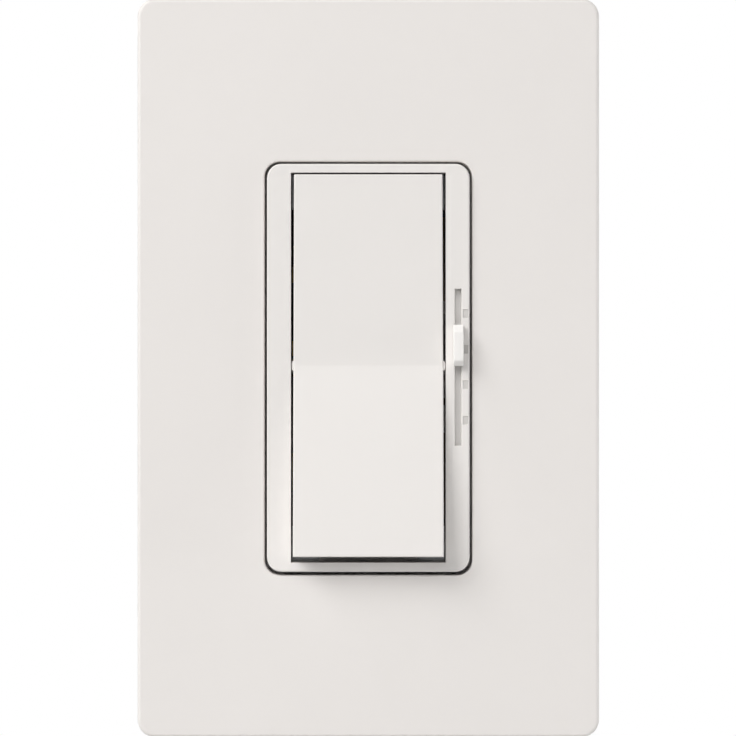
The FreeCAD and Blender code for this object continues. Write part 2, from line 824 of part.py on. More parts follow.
def traveller(sign):
    """A fixed conductor, from its side pocket to the contact behind one end of the rocker."""
    centre = sign * pocket_spacing
    plate = side_plate(centre, pocket_screw_y - clamp_size / 2 - terminal_overhang, traveller_back)
    inner = centre - sign * pocket_edge
    outer = inner + sign * traveller_arm
    near = sign * (contact_offset - contact_length / 2 - contact_margin)
    half = rocker_width / 2 - traveller_inset
    z0, z1 = sorted((inner, outer))
    arm = box(pocket_x - terminal_plate, half, traveller_y, traveller_back, z0, z1)
    z0, z1 = sorted((near, outer))
    foot = box(-half, half, traveller_y, traveller_back, z0, z1)
    return [joined([plate, arm, foot]).cut(screw_hole(centre))]


def fixed_contacts():
    """Two contact bars on the travellers, upright so that they cross the moving ones."""
    return [block(0, side * contact_offset, contact_width, contact_length, contact_plane, traveller_y)
            for side in (-1, 1)]


def load_terminal():
    """The conductor from the middle pocket past the plunger to the board's back."""
    back = board_back + conductor
    plate = side_plate(0, board_back, pocket_screw_y + clamp_size / 2 + terminal_overhang)
    jog_x1 = -sleeve_radius - load_jog_gap
    jog_x0 = jog_x1 - load_jog_width
    top = pocket_edge + load_jog
    low = box(pocket_x - terminal_plate, jog_x1, board_back, back, pocket_edge - load_bar, pocket_edge)
    jog = box(jog_x0, jog_x1, board_back, back, pocket_edge - load_bar, top)
    high = box(jog_x0, board_left + load_landing, board_back, back, top - load_bar, top)
    return [joined([plate, low, jog, high]).cut(screw_hole(0))]


def pocket_centres():
    """Heights of the three side pockets."""
    return (-pocket_spacing, 0, pocket_spacing)


def clamp_plates():
    """Three forked wire clamps under the terminal screws' heads."""
    x1 = pocket_x - terminal_plate
    x0 = x1 - clamp_thickness
    y = pocket_screw_y
    half = clamp_size / 2
    plates = []
    for z in pocket_centres():
        plate = box(x0, x1, y - half, y + half, z - half, z + half)
        slot = box(x0 - 1, x1 + 1, y - tap_radius, y + clamp_size, z - tap_radius, z + tap_radius)
        plates.append(plate.cut(slot))
    return plates


def terminal_screws():
    """Three screws in the side pockets."""
    x = pocket_x - terminal_plate - clamp_thickness
    return [terminal_screw().translated(V(x, pocket_screw_y, z)) for z in pocket_centres()]


def switch_base():
    """The moulded carrier: pads under the conductors, a wall under the board, hollow behind."""
    body = box(base_left, base_right, base_front, floor_y, -base_height / 2, base_height / 2)
    hollow = box(base_left + base_wall, base_right - base_wall, base_front + base_floor, floor_y + 1,
                 base_wall - base_height / 2, base_height / 2 - base_wall)
    body = body.cut(hollow)
    parts = [body]
    pad_half = rocker_width / 2
    pad_back = base_front + fit_gap
    z0 = contact_offset - contact_length / 2 - contact_margin
    z1 = pocket_spacing - pocket_edge
    z2 = z1 + traveller_arm
    for sign in (-1, 1):
        low, high = sorted((sign * z0, sign * z2))
        parts.append(box(-pad_half, pad_half, traveller_back, pad_back, low, high))
        low, high = sorted((sign * z1, sign * z2))
        parts.append(box(base_left, fit_gap - pad_half, traveller_back, pad_back, low, high))
        rib_z = sign * base_rib_spacing / 2
        parts.append(box(base_left, base_right, base_front + base_floor / 2, floor_y,
                         rib_z - base_rib / 2, rib_z + base_rib / 2))
    wall_x = base_right - base_wall
    wall_half = board_height / 2 - rail_thickness
    parts.append(box(wall_x, base_right, board_back, pad_back, -wall_half, wall_half))
    arm_z = pivot_z - bracket_half_height
    arm_gap = box(wall_x - base_wall, base_right + 1, bracket_base - fit_gap, base_front,
                  arm_z - bracket_arm_width - fit_gap, arm_z + fit_gap)
    top = pocket_edge + load_jog + fit_gap
    load_gap = box(wall_x - base_wall, base_right + 1, board_back - 1, board_back + conductor + fit_gap,
                   top - load_bar - 2 * fit_gap, top)
    return [joined(parts).cut(arm_gap).cut(load_gap)]


# Slide of the speed control

def slider_knob():
    """The knob: a bevelled bar in front of the slot, with a stem into the carriage."""
    back = bezel_front - knob_face_gap
    front = bezel_front - knob_proud
    half = knob_height / 2
    points = [(back, -half), (front + knob_bevel_depth, -half), (front, -half + knob_bevel_height),
              (front, half - knob_bevel_height), (front + knob_bevel_depth, half), (back, half)]
    head = side_profile(points, -knob_width / 2, knob_width / 2)
    upright = [edge for edge in head.Edges if edge.BoundBox.XLength < 1e-4 and edge.BoundBox.ZLength > 0.5]
    sides = [edge for edge in upright if edge.BoundBox.YMin < back - 1e-3]
    head = head.makeFillet(knob_edge_round, sides)
    stem = block(0, 0, slot_width - 2 * stem_clearance, stem_length, back - fit_gap,
                 shutter_front + stem_socket_depth)
    return [joined([head, stem]).translated(V(slot_x, 0, slider_z))]


def slider_carriage():
    """The carriage: shutter strip behind the slot, neck in the channel, block behind the strap's face."""
    strip = block(0, 0, shutter_width, shutter_length, shutter_front, shutter_back)
    neck = block(0, 0, shutter_width, carriage_length, shutter_back - fit_gap, carriage_front + fit_gap)
    foot = block(0, 0, carriage_width, carriage_length, carriage_front, carriage_back)
    body = joined([strip, neck, foot])
    side = 2 * stem_socket_clearance
    socket = block(0, 0, slot_width - 2 * stem_clearance + side, stem_length + side,
                   shutter_front - 1, shutter_front + stem_socket_depth + stem_socket_clearance)
    recess_half = carriage_length / 2 - detent_shoulder
    recess = box(carriage_width / 2 - detent_recess, carriage_width, carriage_front - 1, carriage_back + 1,
                 -recess_half, recess_half)
    return [body.cut(socket).cut(recess).translated(V(slot_x, 0, slider_z))]


def arch_radius(half_span, rise):
    """Radius of the arc that rises by a given height over a given half span."""
    return (half_span ** 2 + rise ** 2) / (2 * rise)


def wiper_contact():
    """Two arched fingers on a plate, which bridge the board's common track and a speed pad."""
    plate_y = carriage_back + wiper_leaf
    peak = board_front - track_thickness - wiper_gap
    half = carriage_length / 2 - 3 * wiper_inset
    radius = arch_radius(half, peak - carriage_back)
    centre_y = peak - radius
    shapes = [block(0, 0, carriage_width - 2 * wiper_inset, carriage_length - 4 * wiper_inset,
                    carriage_back, plate_y)]
    for side in (-1, 1):
        cx = side * wiper_offset
        outer = rod_x(radius, centre_y, 0, cx - wiper_width / 2, cx + wiper_width / 2)
        inner = rod_x(radius - wiper_leaf, centre_y, 0, cx - wiper_width, cx + wiper_width)
        keep = block(cx, 0, 2 * wiper_width, 2 * half, plate_y - wiper_leaf / 2, peak + 1)
        shapes.append(outer.cut(inner).common(keep))
    return [joined(shapes).translated(V(slot_x, 0, slider_z))]


def detent_spring():
    """A bowed leaf in the carriage's side recess, whose nose runs along the strap's aperture."""
    half = carriage_length / 2 - detent_shoulder - fit_gap
    seat = carriage_width / 2 - detent_recess
    peak = aperture_half - slot_x - detent_gap
    radius = arch_radius(half, peak - seat)
    y0 = carriage_front + fit_gap
    y1 = carriage_back - fit_gap
    outer = rod_y(radius, peak - radius, 0, y0, y1)
    inner = rod_y(radius - detent_leaf, peak - radius, 0, y0, y1)
    keep = box(seat, peak + 1, y0, y1, -half, half)
    leaf = outer.cut(inner).common(keep)
    return [leaf.translated(V(slot_x, 0, slider_z))]


# Speed board and its components

def speed_board():
    """The insulating board behind the slide."""
    return [box(board_left, board_right, board_front, board_back, -board_height / 2, board_height / 2)]


def speed_contacts():
    """One long common track and a pad for each speed, on the board's front."""
    y0 = board_front - track_thickness
    tracks = [block(slot_x + wiper_offset, slot_lift, track_width, track_length, y0, board_front)]
    for z in mark_places():
        tracks.append(block(slot_x - wiper_offset, z, track_width, pad_height, y0, board_front))
    return tracks


def capacitor(size, inset, sign):
    """A box film capacitor that fills the room between switch base and rails, above or below the middle."""
    depth, height = size
    right = board_right - rail_width
    left = base_right + capacitor_gap + inset
    centre_z = sign * (capacitor_standoff + height / 2)
    return [block((left + right) / 2, centre_z, right - left, height, board_back, board_back + depth)]


def bleed_resistors():
    """Two block resistors side by side behind the board, with flat bent leads."""
    centre_x = (board_left + board_right) / 2 + resistor_shift
    front = board_back + resistor_standoff
    middle = front + resistor_size / 2
    lead_back = middle + resistor_lead / 2
    reach = resistor_length / 2 + resistor_lead_reach
    solids = []
    for side in (-1, 1):
        z = side * resistor_spacing / 2
        pieces = [block(centre_x, z, resistor_length, resistor_size, front, front + resistor_size),
                  block(centre_x, z, 2 * reach, resistor_lead, lead_back - resistor_lead, lead_back)]
        for end in (-1, 1):
            leg_x = centre_x + end * (reach - resistor_lead / 2)
            pieces.append(block(leg_x, z, resistor_lead, resistor_lead, board_back, middle))
        solids.append(joined(pieces))
    return solids


def insulating_sheet():
    """The thin sheet between the strap and the board, open like the strap's aperture."""
    width = cavity_width - 2 * sheet_gap
    height = cavity_height - 2 * sheet_gap
    sheet = box(-width / 2, width / 2, 0, sheet_thickness, -height / 2, height / 2)
    sheet = sheet.cut(box(sheet_border - width / 2, aperture_half, -1, 1,
                          -aperture_height / 2, aperture_height / 2))
    side = 2 * (boss_radius + sheet_gap)
    for sz in (-1, 1):
        sheet = sheet.cut(block(0, sz * (boss_z + side / 2), side, 2 * side, -1, 1))
    return [sheet]


# Back housing

def back_housing():
    """The moulded body: drafted shell, screw bosses, board rails and terminal pockets."""
    solid = Part.makeLoft(housing_sections(), True, True)
    shell = solid.cut(block(0, 0, cavity_width, cavity_height, -1, floor_y))
    # The slide's parts pass the strap's aperture, so the walls leave room for them there.
    shell = shell.cut(block(0, 0, 2 * aperture_half, aperture_height, -1, board_back))
    inside = housing_bosses() + board_rails() + pocket_blocks()
    shell = joined([shell] + [piece.common(solid) for piece in inside])
    for sz in (-1, 1):
        radius = housing_screw_radius + housing_screw_clearance
        shell = shell.cut(rod_y(radius, 0, sz * boss_z, -1, housing_depth + 1))
    room = tap_radius + pocket_core
    for z in pocket_centres():
        shell = shell.cut(box(-housing_width, pocket_x, pocket_front, pocket_front + pocket_length,
                              z - pocket_height / 2, z + pocket_height / 2))
        shell = shell.cut(box(pocket_x - 1, pocket_x + pocket_wall + 1, pocket_screw_y - room,
                              pocket_screw_y + room, z - room, z + room))
    return [cut_conductor_slots(shell)]


def housing_bosses():
    """The two screw bosses, joined to the end walls."""
    back = floor_y + housing_floor / 2
    bosses = []
    for sz in (-1, 1):
        bosses.append(rod_y(boss_radius, 0, sz * boss_z, 0, back))
        bosses.append(block(0, sz * (boss_z + boss_inset / 2), 2 * boss_radius, boss_inset, 0, back))
    return bosses


def board_rails():
    """Two rails on the right wall that the board rests on."""
    x0 = board_right - rail_width
    x1 = cavity_width / 2 + housing_wall / 2
    back = floor_y + housing_floor / 2
    rails = []
    for sz in (-1, 1):
        z = sz * (board_height / 2 - rail_thickness)
        rails.append(block((x0 + x1) / 2, z, x1 - x0, rail_thickness, board_back, back))
    return rails


def pocket_blocks():
    """The solid blocks on the left wall that the terminal pockets are cut into."""
    half = pocket_height / 2 + pocket_wall
    wall_x = -(cavity_width + housing_wall) / 2
    y0 = sheet_thickness + sheet_gap
    y1 = pocket_front + pocket_length + pocket_wall
    return [box(wall_x, pocket_x + pocket_wall, y0, y1, z - half, z + half) for z in pocket_centres()]


def housing_sections():
    """Outlines from the open front to the back: drafted, then drawn in round the back edge."""
    sections = [rounded_outline(housing_width, housing_height, housing_corner, 0)]
    for along, across in quarter_round(housing_back_round, edge_steps):
        lean = housing_draft + across
        sections.append(rounded_outline(housing_width - 2 * lean, housing_height - 2 * lean,
                                        housing_corner - across, housing_depth - along))
    return sections


def cut_conductor_slots(shell):
    """Slots in the pocket floors where the conductors pass inside."""
    x0 = pocket_x - terminal_plate / 2
    x1 = pocket_x + pocket_wall + 1
    for sign in (-1, 1):
        inner = sign * (pocket_spacing - pocket_edge)
        z0, z1 = sorted((inner - sign * fit_gap, inner + sign * (traveller_arm + fit_gap)))
        shell = shell.cut(box(x0, x1, traveller_y - fit_gap, traveller_back + fit_gap, z0, z1))
    return shell.cut(box(x0, x1, board_back - fit_gap, board_back + conductor + fit_gap,
                         pocket_edge - load_bar - fit_gap, pocket_edge + fit_gap))


def housing_screws():
    """Two screws from the housing's back into the strap."""
    shank = twelve_sided(housing_screw_radius, housing_depth - yoke_front)
    screw = round_headed(housing_screw_head, housing_screw_head_height, shank)
    screw = screw.rotated(V(0, 0, 0), V(0, 0, 1), 180)
    return [screw.translated(V(0, housing_depth, sz * boss_z)) for sz in (-1, 1)]


# Writing the pieces

def save(name, solids):
    """Writes one piece, or a group of like pieces, to its own file."""
    shape = solids[0] if len(solids) == 1 else Part.makeCompound(solids)
    if not shape.isValid() or len(shape.Solids) != len(solids):
        print("check", name, shape.isValid(), len(shape.Solids))
    shape.exportStep("parts/" + name + ".step")
    print(name, len(shape.Solids), round(shape.Volume, 1))


def main():
    """Builds every piece and writes it."""
    os.makedirs("parts", exist_ok=True)
    save("wallplate_cover", [wallplate_cover()])
    save("plate_adapter", [plate_adapter()])
    save("adapter_screws", adapter_screws())
    save("front_bezel", [front_bezel()])
    save("paddle", paddle())
    save("plunger", plunger())
    save("plunger_spring", plunger_spring())
    save("contact_rocker", contact_rocker())
    save("moving_contacts", moving_contacts())
    save("fulcrum_bracket", fulcrum_bracket())
    save("traveller_terminal_upper", traveller(1))
    save("traveller_terminal_lower", traveller(-1))
    save("fixed_contacts", fixed_contacts())
    save("load_terminal", load_terminal())
    save("terminal_screws", terminal_screws())
    save("clamp_plates", clamp_plates())
    save("switch_base", switch_base())
    save("slider_knob", slider_knob())
    save("slider_carriage", slider_carriage())
    save("wiper_contact", wiper_contact())
    save("detent_spring", detent_spring())
    save("speed_board", speed_board())
    save("speed_contacts", speed_contacts())
    save("capacitor_large", capacitor(large_capacitor, 0, 1))
    save("capacitor_small", capacitor(small_capacitor, small_capacitor_inset, -1))
    save("bleed_resistors", bleed_resistors())
    save("insulating_sheet", insulating_sheet())
    save("yoke", [yoke()])
    save("ground_screw", ground_screw())
    save("back_housing", back_housing())
    save("housing_screws", housing_screws())
    save("box_screws", box_screws())
    save("screw_retainers", screw_retainers())


main()
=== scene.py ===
# %% [markdown]
# # A fan control for the wall
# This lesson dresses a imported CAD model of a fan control: a wide paddle that switches the fan,
# a thin slide beside it that sets the speed, and a smooth plate that snaps over both. The CAD
# says where every piece is. Here the pieces that show get soft moulded edges, and all of them
# get a finish. Each step says what the piece is on the real object before it makes it.

# %% Load the frame
import json
import math

import bmesh
import bpy
import numpy as np
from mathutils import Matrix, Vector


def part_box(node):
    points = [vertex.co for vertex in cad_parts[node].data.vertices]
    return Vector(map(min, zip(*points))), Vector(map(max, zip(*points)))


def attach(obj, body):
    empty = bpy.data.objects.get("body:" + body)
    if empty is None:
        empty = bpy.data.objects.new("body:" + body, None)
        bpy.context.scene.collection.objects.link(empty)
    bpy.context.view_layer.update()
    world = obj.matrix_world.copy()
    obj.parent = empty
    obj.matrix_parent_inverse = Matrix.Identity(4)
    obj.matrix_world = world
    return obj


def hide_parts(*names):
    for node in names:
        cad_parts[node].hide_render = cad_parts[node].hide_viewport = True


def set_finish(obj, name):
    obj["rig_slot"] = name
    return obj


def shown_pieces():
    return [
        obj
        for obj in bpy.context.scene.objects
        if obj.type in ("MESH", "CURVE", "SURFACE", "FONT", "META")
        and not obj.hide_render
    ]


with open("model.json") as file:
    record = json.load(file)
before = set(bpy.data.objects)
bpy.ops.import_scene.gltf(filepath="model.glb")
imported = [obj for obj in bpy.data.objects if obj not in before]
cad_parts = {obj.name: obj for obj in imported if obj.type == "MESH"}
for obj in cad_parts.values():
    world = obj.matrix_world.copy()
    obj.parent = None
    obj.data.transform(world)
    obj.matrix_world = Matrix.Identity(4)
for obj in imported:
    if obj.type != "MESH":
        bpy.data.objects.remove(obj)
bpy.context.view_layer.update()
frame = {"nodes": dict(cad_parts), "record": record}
MM = 0.001

# %% [markdown]
# ## Camera
# The photograph looks straight at the plate from about 0.4 m, and the plate just fills the
# frame's height. A lens is easiest to set from what it must hold: sensor width over focal
# length equals frame width over distance.

# %% Camera
plate_depth = 7.6
camera_distance = 400.0
camera_x = -0.05
frame_side = 118.9

camera_data = bpy.data.cameras.new("straight_on")
camera_data.sensor_width = 36.0
camera_data.lens = camera_data.sensor_width * camera_distance / frame_side
camera_data.clip_start = 0.01
camera = bpy.data.objects.new("straight_on", camera_data)
camera.location = (camera_x * MM, -(camera_distance + plate_depth) * MM, 0.0)
camera.rotation_euler = (math.radians(90), 0.0, 0.0)
bpy.context.scene.collection.objects.link(camera)
bpy.context.scene.camera = camera
print("lens", round(camera_data.lens, 1), "mm")

# %% [markdown]
# ## From a grid of points to a mesh
# Every new shape here is a grid: one direction goes round or along the piece, the other goes
# across it. numpy works out all the points at once, and the quads between neighbours are the
# same few lines each time, so they live in one helper. Points that fall together, as at a
# pole, are merged, and the faces are turned to point outwards.

# %% Grid helpers
merge_distance = 4e-7
no_length = 1e-8
sharp_degrees = 35.0

def surface(grid, wrap_rows=False, wrap_columns=True):
    """A grid of points with its quads: cell (i, j) joins points (i, j), (i+1, j), (i+1, j+1) and
    (i, j+1), and the last row or column may join the first."""
    rows, columns = grid.shape[:2]
    i, j = np.meshgrid(np.arange(rows - (not wrap_rows)), np.arange(columns - (not wrap_columns)),
                       indexing="ij")
    i, j = i.ravel(), j.ravel()
    below, beside = (i + 1) % rows, (j + 1) % columns
    corners = [i * columns + j, below * columns + j, below * columns + beside, i * columns + beside]
    return grid, np.stack(corners, axis=1)

def joined(name, points, faces):
    """A mesh of points in mm and faces, merged where points meet, with its faces outwards."""
    mesh = bpy.data.meshes.new(name)
    mesh.from_pydata((points * MM).tolist(), [], faces)
    work = bmesh.new()
    work.from_mesh(mesh)
    bmesh.ops.remove_doubles(work, verts=work.verts, dist=merge_distance)
    bmesh.ops.dissolve_degenerate(work, edges=work.edges, dist=no_length)
    bmesh.ops.recalc_face_normals(work, faces=work.faces)
    work.to_mesh(mesh)
    work.free()
    return mesh

def shown(name, mesh, sharp=sharp_degrees):
    """An object that shows a mesh, smooth up to an angle and sharp beyond it."""
    mesh.shade_smooth()
    mesh.set_sharp_from_angle(angle=math.radians(sharp))
    made = bpy.data.objects.new(name, mesh)
    bpy.context.scene.collection.objects.link(made)
    print(name, len(mesh.polygons), "faces")
    return made

def piece(name, surfaces, sharp=sharp_degrees):
    """One object from a list of surfaces, each its points in mm and its quads."""
    points = [grid.reshape(-1, 3) for grid, quads in surfaces]
    starts = np.cumsum([0] + [len(each) for each in points])
    faces = np.concatenate([quads + start for (grid, quads), start in zip(surfaces, starts)])
    return shown(name, joined(name, np.concatenate(points), faces.tolist()), sharp)

def place(made, body, slot, *nodes):
    """The piece rides on a body, takes its finish from a slot and stands for CAD nodes."""
    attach(made, body)
    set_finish(made, slot)
    if nodes:
        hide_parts(*nodes)
    return made

print("3 rings of 8 points have", len(surface(np.zeros((3, 8, 3)))[1]), "quads")

# %% [markdown]
# ## Outlines and profiles
# Plate, face and paddle are all rectangles with round corners whose edges roll over. Each is a
# ring that changes size and depth from the outside to the inside, as a lofted surface does.
# The ring is the path, and a short list of stations is the profile carried along it.

# %% Outline helpers
def outline(half_x, bottom, top, radius, right, across, left, arc_steps):
    """(x, z) round a rectangle with quarter-circle corners. Its sides pass through given heights
    on the right and the left, and through given x at the top and the bottom."""
    turn = np.linspace(0.0, math.pi / 2, arc_steps + 1)
    arc_x, arc_z = radius * np.cos(turn), radius * np.sin(turn)
    x, low, high = half_x - radius, bottom + radius, top - radius
    sides = [
        (np.full(right.size, half_x), right),
        (x + arc_x, high + arc_z),
        (across[::-1], np.full(across.size, top)),
        (-x - arc_z, high + arc_x),
        (np.full(left.size, -half_x), left[::-1]),
        (-x - arc_x, low - arc_z),
        (across, np.full(across.size, bottom)),
        (x + arc_z, low - arc_x),
    ]
    return np.concatenate([np.stack(side, axis=1) for side in sides])

def ring(half_x, half_z, radius, x_parts, z_parts, arc_steps):
    """An outline about the middle. Its side points are parts, -1 to 1, of the straights."""
    heights, across = (half_z - radius) * z_parts, (half_x - radius) * x_parts
    return outline(half_x, -half_z, half_z, radius, heights, across, heights, arc_steps)

def at_depth(flat, y, centre=(0.0, 0.0)):
    """Points (x, z) moved to a centre and set at the depth y."""
    return np.stack([flat[:, 0] + centre[0], np.full(len(flat), y), flat[:, 1] + centre[1]], axis=1)

def quarter(radius, steps=7):
    """A rolled edge from side to face, as pairs: inwards, radius x (1 - cos), and behind the face,
    radius x (1 - sin)."""
    turn = np.linspace(0.0, math.pi / 2, steps + 1)
    return list(zip(radius * (1 - np.cos(turn)), radius * (1 - np.sin(turn))))

def loft(stations, x_parts, z_parts, arc_steps=12):
    """Rings stacked from stations of (half width, half height, radius, y, middle z)."""
    rows = []
    for half_x, half_z, radius, y, middle_z in stations:
        flat = ring(half_x, half_z, radius, x_parts, z_parts, arc_steps)
        rows.append(at_depth(flat, y, (0.0, middle_z)))
    return np.stack(rows)

print("a rolled edge of 1 mm", np.round(quarter(1.0, 2), 2).tolist())

# %% [markdown]
# ## The wall plate
# The plate is one moulding: sides that lean in slightly, a rolled outer edge, a flat front, a
# rolled edge round the opening, and a collar behind it. A box with a Boolean hole and a Bevel
# modifier would do, but a profile shows exactly how far each edge rolls, so it is written out.

# %% Wall plate
plate_half = (74.96 / 2, 119.7 / 2)
plate_corner = 3.0
inner_corner = 0.6
plate_roll = 0.6
plate_draft = 0.15
draft_below_roll = 0.135
plate_wall = 1.8
opening_half = (33.55 / 2, 66.86 / 2)
opening_middle_z = -0.085
opening_corner = 2.45
opening_roll = 0.25
collar_wall = 1.5
collar_back = -3.6
inner_face = -5.7
flat_lead = 0.1

def rim(inset, y):
    """A station set in from the plate's outline."""
    return (plate_half[0] - inset, plate_half[1] - inset, max(plate_corner - inset, inner_corner), y, 0.0)

def mouth(outset, y):
    """A station set out from the plate's opening."""
    half_x, half_z = opening_half[0] + outset, opening_half[1] + outset
    return (half_x, half_z, opening_corner + outset, y, opening_middle_z)

def plate_stations():
    """Rim, drafted side, rolled edge, front, rolled edge of the opening, collar and the inner faces."""
    front = -plate_depth
    stations = [rim(0.0, 0.0), rim(draft_below_roll, front + plate_roll + flat_lead)]
    stations += [rim(plate_draft + a, front + b) for a, b in quarter(plate_roll)]
    stations += [rim(plate_draft + plate_roll + flat_lead, front), mouth(opening_roll + flat_lead, front)]
    stations += [mouth(a, front + b) for a, b in quarter(opening_roll)[::-1]]
    stations += [mouth(0.0, front + opening_roll + flat_lead), mouth(0.0, collar_back)]
    stations += [mouth(collar_wall, collar_back), mouth(collar_wall, inner_face)]
    return stations + [rim(plate_wall, inner_face), rim(plate_wall, 0.0)]

side_parts = np.linspace(-0.96, 0.96, 15)
wall_plate = piece("wall_plate", [surface(loft(plate_stations(), side_parts, side_parts), wrap_rows=True)])
place(wall_plate, "control_body", "plate_plastic", "wallplate_cover")

# %% [markdown]
# ## Copies of CAD meshes
# Some pieces have a front that shows and a back full of ribs, bearings and legs that hardly
# does. There the front is new, and the back is a copy of the CAD mesh, cut off behind it. A
# CAD mesh is loose triangles, so a copy is merged before anything else is done to it.

# %% Copy helpers
copy_merge = 1e-6
flat_degrees = 0.5
far = 60.0

def merged_copy(node):
    """A bmesh of a CAD node's triangles, with doubles merged and flat areas made whole."""
    work = bmesh.new()
    work.from_mesh(frame["nodes"][node].data)
    bmesh.ops.remove_doubles(work, verts=work.verts, dist=copy_merge)
    bmesh.ops.dissolve_limit(work, angle_limit=math.radians(flat_degrees), verts=work.verts, edges=work.edges)
    return work

def finished(name, work, bevel=0.0, segments=2):
    """An object from a bmesh, with a Bevel modifier where asked."""
    mesh = bpy.data.meshes.new(name)
    work.to_mesh(mesh)
    work.free()
    made = shown(name, mesh)
    if bevel:
        rounding = made.modifiers.new("soft_edges", "BEVEL")
        rounding.width = bevel * MM
        rounding.segments = segments
        rounding.limit_method = "ANGLE"
        rounding.angle_limit = math.radians(sharp_degrees)
        rounding.harden_normals = True
    return made

def prism(flat, start, end, axis=0):
    """A closed mesh that carries an outline along an axis, from its start to its end in mm."""
    count = len(flat)
    ends = [np.insert(np.array(flat, float), axis, level, axis=1) for level in (start, end)]
    faces = [list(range(count)), list(range(2 * count - 1, count - 1, -1))]
    faces += [[i, i + count, (i + 1) % count + count, (i + 1) % count] for i in range(count)]
    return joined("prism", np.concatenate(ends), faces)

def carved(name, node, cutter_mesh, bevel=0.0):
    """A copy of a CAD node with a closed shape taken away by an exact Boolean, so that it stays closed."""
    base = finished(name + "_whole", merged_copy(node))
    cutter = bpy.data.objects.new("cutter", cutter_mesh)
    bpy.context.scene.collection.objects.link(cutter)
    boolean = base.modifiers.new("cut", "BOOLEAN")
    boolean.operation, boolean.solver, boolean.object = "DIFFERENCE", "EXACT", cutter
    seen = base.evaluated_get(bpy.context.evaluated_depsgraph_get())
    work = bmesh.new()
    work.from_mesh(seen.to_mesh())
    seen.to_mesh_clear()
    for spare in (base, cutter):
        bpy.data.objects.remove(spare)
    bmesh.ops.remove_doubles(work, verts=work.verts, dist=copy_merge)
    return finished(name, work, bevel)

print("large cutters reach", far, "mm")

# %% [markdown]
# ## The device face
# A flat frame stands 0.8 mm proud of the plate. Its right stile has a slot for the slide and
# four shallow marks for the speeds. The frame is again a ring with a profile, but here the
# rows on the right run through the slot's ends and the marks' edges, so that a small function
# can press the marks in and the cells over the slot can be left out.

# %% Sizes of the face
face_half = (32.66 / 2, 65.77 / 2)
face_middle_z = 0.045
face_corner = 2.3
face_front = -8.4
face_roll = 0.22
face_wall_back = -7.3
paddle_gap_half = 12.5
paddle_gap_top = 31.53
paddle_gap_bottom = -31.39
slot_centre = (14.50, 0.12)
slot_half = (0.52, 12.63)
slot_lip = 0.16
mark_centre_x = 15.69
mark_half = (0.465, 0.71)
mark_slope = 0.06
mark_depth = 0.12
mark_spacing = 5.73
marks_middle_z = 0.165
marks_z = marks_middle_z + mark_spacing * (np.arange(4) - 1.5)
print("marks at", marks_z.round(3))

# %% [markdown]
# The marks are dents with soft walls. Their depth is the product of two ramps, one across
# and one along, each 1 inside the mark and 0 outside it.

# %% Dent of the marks
def ramp(distance, half, slope):
    """1 within half - slope of the middle, 0 beyond half, and a smooth step between."""
    t = np.clip((half - np.abs(distance)) / slope, 0.0, 1.0)
    return t * t * (3 - 2 * t)

def in_mark(x, z):
    """1 inside any of the four marks at (x, z), 0 outside, and a soft step between."""
    across = ramp(x - mark_centre_x, mark_half[0], mark_slope)
    along = ramp(z[..., None] - marks_z, mark_half[1], mark_slope).max(axis=-1)
    return across * along

def edges_of(centre, half, slope):
    """Grid lines that a ramp needs: both ends of each slope and two between."""
    offsets = np.array([half, half - slope / 3, half - slope * 2 / 3, half - slope])
    return np.concatenate([centre - offsets, centre + offsets])

print("columns at a mark", edges_of(mark_centre_x, mark_half[0], mark_slope).round(3))

# %% [markdown]
# The frame's stations run from its side over the rolled edge to the paddle's opening. Left,
# top and bottom need only a few, but the right stile needs a column at every feature, and all
# sides share them. The opening's corners are sharp: they have radius 0, and as many points as
# the round ones.

# %% Face surface
plain_rows = np.linspace(-30.0, 30.0, 13)
plain_columns = np.linspace(-11.2, 11.2, 9)
face_corner_steps = 8
both_ways = np.array([-1, 1])
hair = 0.001

def face_columns():
    """Distances in from the outline for the flat of the front, one at every feature of the stile."""
    marks = edges_of(mark_centre_x, mark_half[0], mark_slope)
    on_flat = marks[marks < face_half[0] - face_roll - hair]
    slot = slot_centre[0] + both_ways * (slot_half[0] + slot_lip)
    return np.sort(face_half[0] - np.concatenate([on_flat, slot]))

def face_rows():
    """Heights of the rows on the right stile."""
    lines = [edges_of(z, mark_half[1], mark_slope) for z in marks_z]
    lines.append(slot_centre[1] + both_ways * (slot_half[1] + slot_lip))
    return np.unique(np.concatenate(lines + [plain_rows]).round(4))

def face_outline(half_x, bottom, top, radius):
    """An outline with the stile's rows on the right and plain rows on the left."""
    return outline(half_x, bottom, top, radius, face_rows(), plain_columns, plain_rows, face_corner_steps)

def face_ring(inset):
    """(x, z) round the face, set in from its outline."""
    half_x, half_z = face_half[0] - inset, face_half[1] - inset
    return face_outline(half_x, face_middle_z - half_z, face_middle_z + half_z, face_corner - inset)

def face_grid():
    """The face as rings: side wall, rolled edge, front, and the opening's wall. Marks are pressed in."""
    rings = [(face_ring(0.0), face_wall_back), (face_ring(0.0), face_front + face_roll + flat_lead)]
    rings += [(face_ring(a), face_front + b) for a, b in quarter(face_roll, 6)]
    flat_edge = face_ring(face_roll)
    inner = face_outline(paddle_gap_half, paddle_gap_bottom, paddle_gap_top, 0.0)
    shares = (face_columns() - face_roll) / (face_half[0] - face_roll - paddle_gap_half)
    rings += [(flat_edge + (inner - flat_edge) * share, face_front) for share in shares]
    rings += [(inner, face_front), (inner, face_front + flat_lead)]
    rings += [(flat, face_wall_back) for flat, y in reversed(rings) if y == face_front]
    grid = np.stack([at_depth(flat, y) for flat, y in rings])
    near_front = grid[..., 1] < face_front + face_roll
    grid[..., 1] += np.where(near_front, mark_depth * in_mark(grid[..., 0], grid[..., 2]), 0.0)
    return grid

